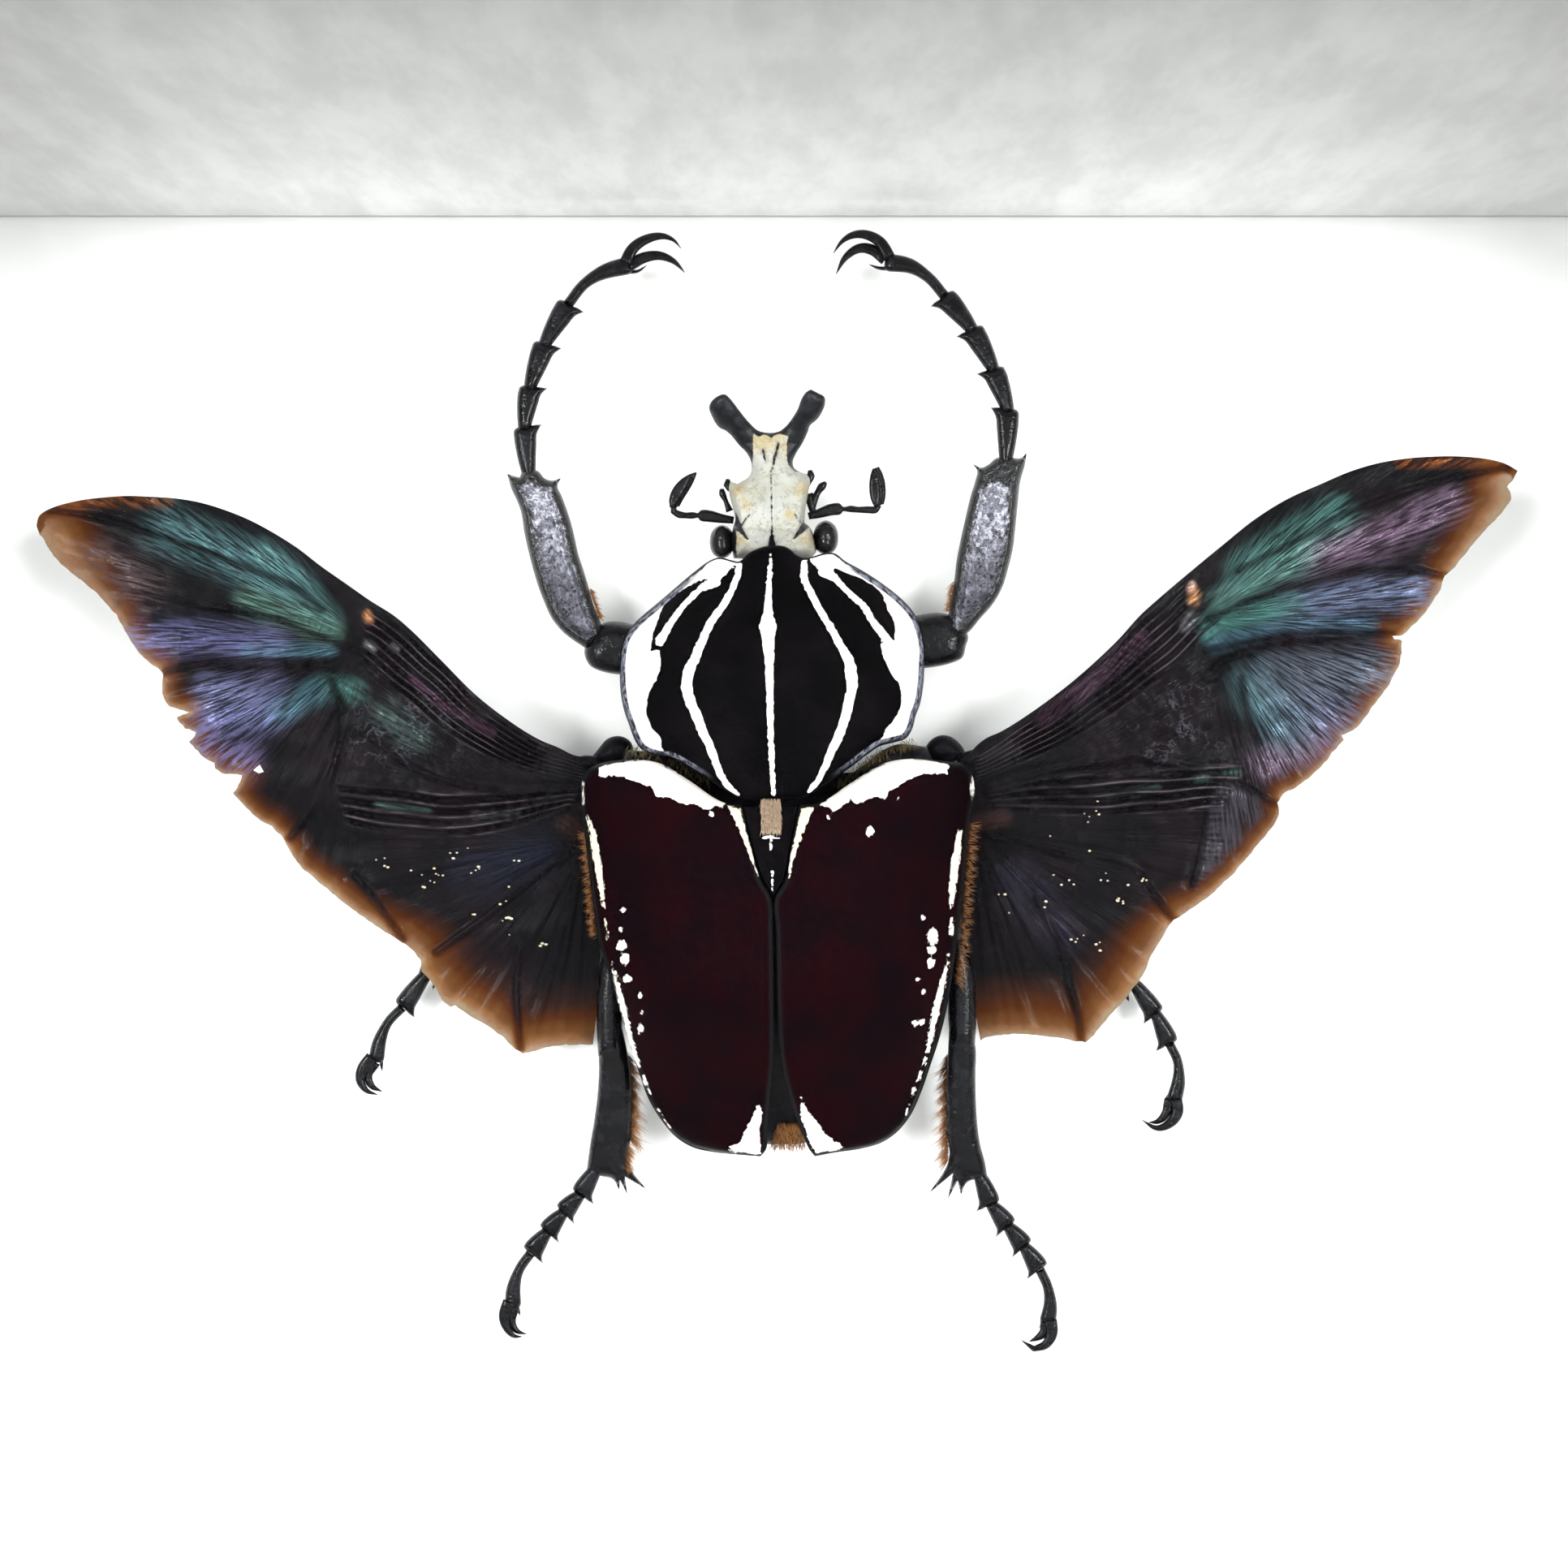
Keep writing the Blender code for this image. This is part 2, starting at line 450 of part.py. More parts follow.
def wing(name, leading, outer, root, holes, mat):
    """A thin wing, thicker along its leading edge."""
    verts, faces = sheet_mesh(leading + outer + root, holes, 5.6)
    used = sorted({i for face in faces for i in face})
    index = {old: new for new, old in enumerate(used)}
    verts = [verts[i] for i in used]
    faces = [tuple(index[i] for i in face) for face in faces]
    reach = max(abs(p[0]) for p in leading)
    front, back = [], []
    for u, v in verts:
        near_edge = 1.0 - min(distance_to(u, v, leading) / 1.5, 1.0)
        thickness = WING_THICKNESS + near_edge * (1.3 - 1.0 * abs(u) / reach)
        middle_height = wing_height(u, v)
        front.append(seen(u, v, middle_height + thickness / 2))
        back.append(seen(u, v, middle_height - thickness / 2))
    count = len(verts)
    skin = faces + [tuple(i + count for i in reversed(face)) for face in faces]
    sides = {}
    for face in faces:
        for a, b in zip(face, face[1:] + face[:1]):
            sides[(a, b)] = True
    for a, b in sides:
        if (b, a) not in sides:
            skin.append((b, a, a + count, b + count))
    return solid(name, front + back, skin, mat)


def union(name, shapes, mat):
    """One closed body from overlapping shapes."""
    parts = bpy.data.collections.new(name + "_parts")
    bpy.context.scene.collection.children.link(parts)
    first = solid(name, *shapes[0], mat)
    for i, (points, faces) in enumerate(shapes[1:]):
        extra = solid(f"{name}_cut{i}", points, faces, mat)
        bpy.context.scene.collection.objects.unlink(extra)
        parts.objects.link(extra)
        extra.hide_render = True
        extra.display_type = "WIRE"
    join = first.modifiers.new("Join", "BOOLEAN")
    join.operation = "UNION"
    join.operand_type = "COLLECTION"
    join.collection = parts
    join.solver = "EXACT"
    return first


def ball(u, v, h, ru, rv, rh, turns=8, rows=5):
    """Closed oval lump, as a loft of rings along v."""
    rings = []
    for i in range(rows):
        tilt = math.pi * (i + 0.5) / rows
        size = math.sin(tilt)
        centre_v = v - rv * math.cos(tilt)
        rings.append([seen(u + ru * size * math.cos(2 * math.pi * k / turns), centre_v,
                           h + rh * size * math.sin(2 * math.pi * k / turns))
                      for k in range(turns)])
    return loft(rings)


def cone(base, tip, width, height, sides=5):
    start = tube_rings([base, tip], [width, width * 0.12], [height, height], sides)
    return loft(start)


def leg(name, data, mat):
    near, knee, far = data["heights"]
    shapes = []
    shin = data["shin"]
    rings = []
    for i, (left, right) in enumerate(shin):
        t = i / (len(shin) - 1)
        width = math.dist(left, right)
        rings.append(bar_ring(left, right, near + (knee - near) * t,
                              min(0.62 * width, 3.6), 8))
    shapes.append(loft(rings))
    shapes.append(loft([bar_ring(left, right, near - 0.4, thick, 8)
                        for left, right, thick in data["thigh"]]))
    for base, tip, width in data["spines"]:
        shapes.append(cone(base, tip, width, knee))
    joints, side, width = data["tarsus"], data["inner"], data["width"]
    lengths = len(joints) + 1
    for i, (start, end) in enumerate(zip(joints, joints[1:])):
        height = knee + (far - knee) * (i + 1) / lengths
        du, dv = end[0] - start[0], end[1] - start[1]
        length = math.hypot(du, dv)
        du, dv = du / length, dv / length
        path = [(start[0] - 0.3 * du, start[1] - 0.3 * dv),
                (start[0] + 0.7 * length * du, start[1] + 0.7 * length * dv), end]
        shapes.append(loft(tube_rings(path, [0.62 * width, width, 0.9 * width],
                                      [height] * 3, 6)))
        across = (dv * side, -du * side)
        base = (end[0] + across[0] * 0.2 * width - 1.6 * du,
                end[1] + across[1] * 0.2 * width - 1.6 * dv)
        tip = (base[0] + 1.6 * du + 1.3 * across[0], base[1] + 1.6 * dv + 1.3 * across[1])
        shapes.append(cone(base, tip, 1.3, height - 0.2))
    foot = data["foot"]
    shapes.append(loft(tube_rings(foot, [0.6 * width, 0.85 * width, width], [far] * 3, 6)))
    for k, claw in enumerate(data["claws"]):
        thin = 0.7 if k == 2 else 1.0
        widths = [thin * w for w in (1.1, 0.95, 0.7, 0.2)][4 - len(claw):]
        shapes.append(loft(tube_rings(claw, widths, [far + 0.4 - 0.5 * k] * len(claw), 5)))
    return union(name, shapes, mat)


def make_head(mat):
    rings = []
    for v, left, right, top, under in HEAD:
        rings.append(bar_ring((left, v), (right, v), (top + under) / 2, top - under, 12))
    shapes = [loft(rings)]
    for stations in PRONGS.values():
        shapes.append(loft([bar_ring(left, right, height, 2.2, 8)
                            for left, right, height in stations]))
    for u, v, h in EYES.values():
        shapes.append(ball(u, v, h, *EYE_RADII))
    for u, v, h, ru, rv in PALPS:
        shapes.append(ball(u, v, h, ru, rv, ru, 6, 4))
        toward = 1.2 if u < -1.5 else -1.2
        shapes.append(loft(tube_rings([(u, v), (u + toward * 2, v - 2.4)],
                                      [ru * 1.3, ru * 1.5], [h, h], 6)))
    return union("head", shapes, mat)


def make_body(mat):
    """Thorax and abdomen as one loft under the wing cases, with a lobe at each shoulder."""
    stations = [  # (v, inset from the cases' half width, top below the cases)
        (1.4, 9.5, 7.0), (-1.0, 5.5, 6.2), (-3.2, 2.8, 3.0), (-8.0, 2.7, 2.6),
        (-14.0, 2.7, 2.6), (-20.0, 2.7, 2.6), (-26.0, 2.7, 2.6), (-32.0, 2.7, 2.6),
        (-37.0, 2.9, 2.8), (-40.5, 3.4, 3.2), (-42.8, 6.0, 3.6), (-44.4, 9.6, 4.4),
    ]
    rings = []
    for v, inset, below in stations:
        wide = between(HALF_WIDTHS, v) - inset
        top = case_height(middle(v), v) - below
        belly = 0.45 + 2.2 * ease(-v, 36.0, 45.0) + 3.0 * ease(v, -5.0, 2.0)
        waist = 9.0 - 1.5 * ease(-v, 36.0, 45.0)
        ring = []
        for k in range(20):
            angle = 2 * math.pi * k / 20
            rise = math.sin(angle)
            if rise >= 0:
                h = waist + (top - waist) * rise
            else:
                h = waist - (waist - belly) * abs(rise) ** 0.6
            ring.append(seen(middle(v) + wide * math.cos(angle), v, h))
        rings.append(ring)
    shapes = [loft(rings)]
    shapes.append(ball(-20.4, 4.2, 9.2, 1.9, 1.6, 2.0))
    shapes.append(ball(19.4, 4.6, 9.2, 1.9, 1.6, 2.0))
    for side, start in ((-1, -20.4), (1, 19.4)):
        shapes.append(loft(tube_rings([(start, 4.2), (start - side * 2.0, -4.0)],
                                      [2.4, 3.0], [8.4, 8.4], 8)))
    return union("body", shapes, mat)


def make_pronotum(mat):
    """The shield and, below it, the front thorax that the forelegs grow from."""
    cu, cv = -1.4, 13.5
    rings = []
    for reach in (0.08, 0.35, 0.6, 0.78, 0.9, 0.97, 1.0):
        ring = []
        for u, v in PRONOTUM:
            pu, pv = cu + (u - cu) * reach, cv + (v - cv) * reach
            ring.append(seen(pu, pv, shield_height(pu, pv, reach, shield_rim(u, v))))
        rings.append(ring)
    for reach, below, floor in ((0.95, 1.3, None), (0.8, 2.0, None), (0.7, 0.0, 4.0),
                                (0.1, 0.0, 1.4)):
        ring = []
        for u, v in PRONOTUM:
            h = floor if floor is not None else shield_rim(u, v) - below
            ring.append(seen(cu + (u - cu) * reach, cv + (v - cv) * reach, h))
        rings.append(ring)
    return solid("pronotum", *loft(rings), mat)


def make_beetle():
    black = finish("beetle_black", (0.018, 0.016, 0.018), 0.32)
    velvet = finish("pronotum_striped", (0.018, 0.016, 0.018), 0.5)
    maroon = finish("elytra_maroon", (0.075, 0.016, 0.018), 0.40)
    cream = finish("head_cream", (0.80, 0.76, 0.60), 0.45)
    film = finish("wing_membrane", (0.12, 0.07, 0.04), 0.28)
    make_body(black)
    make_head(cream)
    make_pronotum(velvet)
    for name, outline, middle_u in (("elytron_left", ELYTRON_LEFT, -12.5),
                                    ("elytron_right", ELYTRON_RIGHT, 10.5)):
        plate(name, outline, (middle_u, -20.0), case_height,
              (0.06, 0.3, 0.55, 0.75, 0.88, 0.96, 1.0), (0.06, 0.4, 0.7, 0.9, 1.0),
              SHELL, 0.94, maroon)
    plate("scutellum", SCUTELLUM, (-1.5, -6.5), lambda u, v: case_height(u, v) - 0.2,
          (0.2, 0.6, 1.0), (0.2, 1.0), 0.9, 0.9, black)
    wing("hindwing_left", WING_LEFT_LEADING, WING_LEFT_OUTER, WING_LEFT_ROOT,
         [WING_LEFT_HOLE], film)
    wing("hindwing_right", WING_RIGHT_LEADING, WING_RIGHT_OUTER, WING_RIGHT_ROOT, [], film)
    for name, data in LEGS.items():
        leg(name, data, black)
    for name, stations in ANTENNAE.items():
        rings = tube_rings([(u, v) for u, v, _ in stations], [w for _, _, w in stations],
                           [ANTENNA_HEIGHT] * len(stations), 7, 0.8)
        solid(name, *loft(rings), black)


def make_rail(name, turn, mat):
    """A mitred rail: turn 0 is the bottom one, and each quarter turn gives the next."""
    along = OUTER_WIDTH if turn % 2 == 0 else OUTER_HEIGHT
    half = along / 2
    profile = [(0.0015, FRONT), (RAIL_WALL + LIP_REACH - 0.001, FRONT),
               (RAIL_WALL + LIP_REACH, FRONT + 0.001),
               (RAIL_WALL + LIP_REACH, FRONT + LIP_THICKNESS),
               (RAIL_WALL, FRONT + LIP_THICKNESS), (RAIL_WALL, BACK), (0.0, BACK),
               (0.0, FRONT + 0.0015)]
    rings = []
    for end in (-1, 1):
        ring = []
        for inward, y in profile:
            x = end * (half - inward - GAP * 0.75)
            z = inward - (OUTER_HEIGHT if turn % 2 == 0 else OUTER_WIDTH) / 2
            angle = turn * math.pi / 2
            ring.append((x * math.cos(angle) - z * math.sin(angle), y,
                         x * math.sin(angle) + z * math.cos(angle) + OUTER_HEIGHT / 2))
        rings.append(ring)
    return solid(name, *loft(rings), mat, smooth=False)


def make_case():
    wood = finish("case_wood", (0.035, 0.028, 0.024), 0.38)
    card = finish("liner_card", (0.80, 0.79, 0.77), 0.85)
    mount = finish("white_board", (0.88, 0.88, 0.87), 0.85)
    glass = finish("clear_glass", (0.95, 0.98, 0.97), 0.03, alpha=0.15)
    board = finish("brown_board", (0.30, 0.18, 0.10), 0.70)
    steel = finish("plated_steel", (0.62, 0.60, 0.55), 0.30, metallic=1.0)
    for turn, name in enumerate(("rail_bottom", "rail_right", "rail_top", "rail_left")):
        make_rail(name, turn, wood)
    half_w, half_h = INNER_WIDTH / 2, INNER_HEIGHT / 2
    mid = OUTER_HEIGHT / 2
    reach_w, reach_h = half_w + LINER, half_h + LINER
    box("glass_pane", (-reach_w, GLASS_FRONT, mid - reach_h),
        (reach_w, GLASS_FRONT + GLASS, mid + reach_h), glass)
    box("backing_board", (-reach_w, BOARD_FRONT, mid - reach_h),
        (reach_w, BOARD_FRONT + BOARD, mid + reach_h), mount)
    box("back_panel", (-reach_w, PANEL_FRONT, mid - reach_h),
        (reach_w, PANEL_FRONT + PANEL, mid + reach_h), board)
    deep = (LINER_FRONT, LINER_FRONT + INNER_DEPTH)
    box("liner_top", (-reach_w, deep[0], mid + half_h), (reach_w, deep[1], mid + reach_h), card)
    box("liner_bottom", (-reach_w, deep[0], mid - reach_h),
        (reach_w, deep[1], mid - half_h), card)
    tall = half_h - GAP
    box("liner_left", (-reach_w, deep[0], mid - tall), (-half_w, deep[1], mid + tall), card)
    box("liner_right", (half_w, deep[0], mid - tall), (reach_w, deep[1], mid + tall), card)
    number = 0
    edge_x, edge_z = OUTER_WIDTH / 2 - RAIL_WALL, OUTER_HEIGHT / 2 - RAIL_WALL
    for x, z, upright in ((-0.45 * edge_x, -edge_z, True), (0.45 * edge_x, -edge_z, True),
                          (-0.45 * edge_x, edge_z, True), (0.45 * edge_x, edge_z, True),
                          (-edge_x, 0.0, False), (edge_x, 0.0, False)):
        number += 1
        make_button(f"turn_button_{number}", x, mid + z, upright, steel)
    make_hanger(mid + edge_z + RAIL_WALL / 2, steel)


def make_button(name, x, z, upright, mat):
    """A turn button: a thin plate with round ends, and a domed screw head on it."""
    back = BACK + GAP
    long, wide = BUTTON_LENGTH / 2, BUTTON_WIDTH / 2
    outline = []
    for end in (1, -1):
        for k in range(5):
            angle = math.pi * (k / 4 - 0.5) + (0 if end > 0 else math.pi)
            outline.append((end * (long - wide) + wide * math.cos(angle), wide * math.sin(angle)))
    rings = []
    for depth in (0.0, BUTTON_THICKNESS):
        rings.append([((x + b, back + depth, z + a) if upright else (x + a, back + depth, z + b))
                      for a, b in outline])
    plate_shape = loft(rings)
    head = []
    for depth, radius in ((0.0003, 0.0024), (0.0015, 0.0024), (BUTTON_THICKNESS * 2, 0.0012)):
        head.append([(x + radius * math.cos(2 * math.pi * k / 8), back + depth,
                      z + radius * math.sin(2 * math.pi * k / 8)) for k in range(8)])
    return union(name, [plate_shape, loft(head)], mat)


def make_hanger(z, mat):
    """A strip with teeth along its lower edge, raised in its middle, with a nail at each end."""
    back = BACK + GAP
    half, low, high = HANGER_WIDTH / 2, z - HANGER_HEIGHT / 2, z + HANGER_HEIGHT / 2
    outline = [(-half, high), (half, high), (half, low)]
    teeth = 12
    start, end = 0.6 * half, -0.6 * half
    for i in range(teeth):
        x = start + (end - start) * i / teeth
        step = (end - start) / teeth
        outline += [(x, low), (x + step / 2, low + 0.0018)]
    outline += [(end, low), (-half, low)]
    rings = [[(x, back + depth, p) for x, p in outline] for depth in (0.0, BUTTON_THICKNESS)]
    shapes = [loft(rings)]
    for x in (-0.82 * half, 0.82 * half):
        head = []
        for depth, radius in ((0.0003, 0.002), (BUTTON_THICKNESS * 1.8, 0.0014)):
            head.append([(x + radius * math.cos(2 * math.pi * k / 10), back + depth,
                          z + radius * math.sin(2 * math.pi * k / 10)) for k in range(10)])
        shapes.append(loft(head))
    return union("sawtooth_hanger", shapes, mat)


clear_scene()
make_case()
make_beetle()
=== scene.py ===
"""How the framed goliath beetle looks: its wings, cuticle, markings and hairs, and the box.

The insect is laid out in sheet coordinates (u, v, h): u right and v up in millimetres on the
board as one eye in front of the box sees them, and h millimetres above the board.
"""

import math
import random

import bmesh
import bpy
import numpy as np
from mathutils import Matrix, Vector, noise
from mathutils.geometry import delaunay_2d_cdt


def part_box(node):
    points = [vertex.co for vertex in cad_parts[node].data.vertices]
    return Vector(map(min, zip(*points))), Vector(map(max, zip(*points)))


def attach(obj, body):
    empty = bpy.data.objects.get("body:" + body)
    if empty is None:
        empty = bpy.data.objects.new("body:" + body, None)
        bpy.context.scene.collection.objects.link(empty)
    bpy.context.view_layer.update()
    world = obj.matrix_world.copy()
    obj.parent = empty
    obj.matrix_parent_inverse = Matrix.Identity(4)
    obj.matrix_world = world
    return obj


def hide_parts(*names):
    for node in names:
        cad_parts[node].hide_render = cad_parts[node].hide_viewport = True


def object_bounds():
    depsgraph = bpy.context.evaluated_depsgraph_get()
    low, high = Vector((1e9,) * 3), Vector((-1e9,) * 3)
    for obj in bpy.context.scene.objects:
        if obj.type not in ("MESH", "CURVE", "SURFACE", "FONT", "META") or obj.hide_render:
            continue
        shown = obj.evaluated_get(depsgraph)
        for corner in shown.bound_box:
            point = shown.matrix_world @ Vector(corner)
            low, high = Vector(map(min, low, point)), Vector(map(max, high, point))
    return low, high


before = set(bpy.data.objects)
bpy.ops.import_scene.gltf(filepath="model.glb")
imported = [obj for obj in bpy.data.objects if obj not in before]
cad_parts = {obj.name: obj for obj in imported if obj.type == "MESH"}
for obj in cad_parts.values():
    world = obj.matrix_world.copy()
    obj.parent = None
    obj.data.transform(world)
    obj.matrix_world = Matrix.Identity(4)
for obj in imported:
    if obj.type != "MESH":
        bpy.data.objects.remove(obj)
CAD_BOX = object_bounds()

MM = 0.001
EYE_DISTANCE = 0.200
EYE_BELOW_CEILING = 0.0698
PHOTO_WIDTH_AT_BOARD = 0.1932
BOARD_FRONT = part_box("backing_board")[0][1]
EYE_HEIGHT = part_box("liner_top")[0][2] - EYE_BELOW_CEILING
SEED = 11
TINT_LEVEL = 0.36
TINT_PURITY = 0.74
RAY_REACH = 21.0
WORLD_STRENGTH = 1.42
SOFTBOX_POWER = 53.0
FLOOR_HALF = 2.6
SENSOR_WIDTH = 36.0

# The rails' section in metres: wall and lip, the corner gap, and the rounded front edges
WALL = 0.010
LIP_REACH = 0.015
LIP_GAP = 0.0003
MITRE_GAP = 0.000225
OUTER_RADIUS = 0.0018
INNER_RADIUS = 0.0012
RAIL_SLICES = 25

# The insect's build, as in the solids
LEAN = -0.02
MIDDLE_AT_SHOULDER = -0.9
CASES_RIM = 13.0
CASES_TOP = 26.0
SHIELD_CENTRE = (-1.4, 13.5)
HALF_WIDTHS = [  # (v, half width of the closed wing cases)
    (6.0, 23.0), (1.0, 24.2), (-1.0, 24.2), (-5.0, 23.6), (-8.0, 23.3), (-14.0, 22.9),
    (-20.0, 22.0), (-26.0, 20.6), (-30.0, 19.5), (-34.0, 18.3), (-37.0, 17.2), (-40.0, 15.9),
    (-42.0, 14.7), (-43.5, 13.1), (-44.5, 11.3), (-45.2, 9.0), (-45.7, 6.5), (-46.1, 3.2),
]

ELYTRA = {
    "elytron_left": [
        (-5.2, -2.6), (-7.4, -2.3), (-11.8, 0.5), (-15.2, 2.5), (-18.5, 3.0), (-22.0, 2.7),
        (-24.0, 1.9), (-24.9, 0.2), (-25.0, -2.0), (-24.6, -6.0), (-24.1, -10.0),
        (-23.5, -15.0), (-22.7, -20.0), (-21.4, -24.0), (-20.2, -28.0), (-19.0, -32.0),
        (-17.9, -35.5), (-16.6, -39.0), (-15.0, -41.6), (-13.2, -43.6), (-11.2, -44.8),
        (-8.5, -45.4), (-5.5, -45.7), (-2.9, -45.9), (-2.2, -45.0), (-2.05, -42.0),
        (-1.75, -38.5), (-1.35, -34.0), (-1.3, -26.0), (-1.4, -18.0), (-1.6, -14.2),
        (-2.9, -11.8), (-4.2, -7.3)],
    "elytron_right": [
        (1.9, -2.6), (4.2, -2.4), (8.2, 0.1), (12.2, 2.5), (15.5, 3.1), (20.0, 2.8),
        (22.3, 2.4), (23.3, 0.8), (23.5, -1.5), (23.0, -4.0), (22.5, -8.0), (22.2, -12.0),
        (21.8, -16.0), (21.2, -20.0), (20.7, -24.0), (20.0, -28.0), (19.1, -31.5),
        (18.1, -34.5), (17.0, -37.7), (15.6, -40.8), (13.8, -43.0), (11.8, -44.3),
        (9.3, -45.0), (6.5, -45.4), (3.8, -45.9), (3.1, -45.0), (2.1, -42.6), (1.2, -40.0),
        (0.0, -35.8), (-0.5, -32.5), (-0.8, -26.0), (-0.95, -18.0), (-1.1, -14.2),
        (0.2, -11.8), (1.0, -7.3)],
}
SCUTELLUM = [(-4.9, -2.8), (1.6, -2.8), (0.7, -7.4), (-0.15, -11.6), (-1.35, -13.7),
             (-2.55, -11.6), (-3.9, -7.4)]
PRONOTUM = [
    (-1.5, 29.4), (-3.0, 29.1), (-4.3, 28.5), (-5.6, 27.4), (-6.2, 27.5), (-8.0, 27.9),
    (-9.0, 27.6), (-11.0, 26.2), (-13.5, 24.1), (-15.6, 22.3), (-17.5, 20.7), (-18.6, 19.6),
    (-19.6, 18.2), (-20.1, 16.5), (-20.25, 15.0), (-20.25, 13.5), (-20.1, 11.0),
    (-19.7, 9.0), (-19.1, 7.3), (-18.6, 5.9), (-17.9, 4.6), (-17.2, 4.0), (-15.5, 3.4),
    (-14.0, 3.2), (-11.0, 1.6), (-8.0, -0.3), (-5.5, -1.7), (-3.0, -1.95), (0.0, -1.9),
    (2.5, -1.6), (5.0, -0.1), (8.0, 1.9), (10.5, 3.8), (11.7, 4.6), (13.5, 5.1),
    (15.0, 5.6), (15.8, 6.8), (16.2, 8.3), (16.8, 10.0), (17.2, 12.5), (17.3, 14.5),
    (17.4, 16.5), (17.2, 18.0), (16.7, 19.7), (16.0, 21.1), (14.5, 22.8), (12.0, 24.8),
    (9.5, 26.4), (7.5, 27.5), (6.3, 28.4), (5.5, 28.5), (4.8, 28.4), (3.4, 28.0),
    (2.4, 27.9), (1.6, 28.2), (0.8, 28.9), (0.0, 29.3),
]
HEAD = [
    (-6.2, 27.8), (-6.5, 30.0), (-6.3, 31.5), (-6.0, 32.6), (-6.3, 34.0), (-6.8, 36.5),
    (-6.6, 37.3), (-5.7, 37.0), (-4.3, 38.0), (-4.0, 39.2), (-4.5, 40.6), (-5.6, 41.8),
    (-6.6, 43.0), (-7.2, 43.5), (-8.0, 43.9), (-9.0, 45.5), (-9.25, 46.4), (-9.0, 47.1),
    (-8.2, 47.8), (-7.3, 48.05), (-6.8, 47.7), (-6.2, 47.0), (-5.3, 45.8), (-4.3, 44.6),
    (-3.2, 43.6), (-2.3, 43.35), (-1.5, 43.3), (-0.6, 43.5), (0.2, 44.1), (1.0, 45.1),
    (1.7, 46.3), (2.1, 47.4), (2.7, 48.3), (3.3, 48.65), (4.2, 48.2), (5.0, 47.7),
    (5.1, 47.0), (4.7, 45.8), (4.1, 44.9), (3.2, 44.1), (3.0, 43.5), (2.3, 42.0),
    (1.5, 40.7), (1.1, 39.7), (1.25, 39.0), (1.9, 38.5), (2.9, 38.2), (3.2, 37.4),
    (2.9, 35.5), (2.6, 33.5), (2.5, 32.2), (3.2, 31.6), (3.7, 30.5), (4.0, 28.6),
    (3.2, 27.8),
]

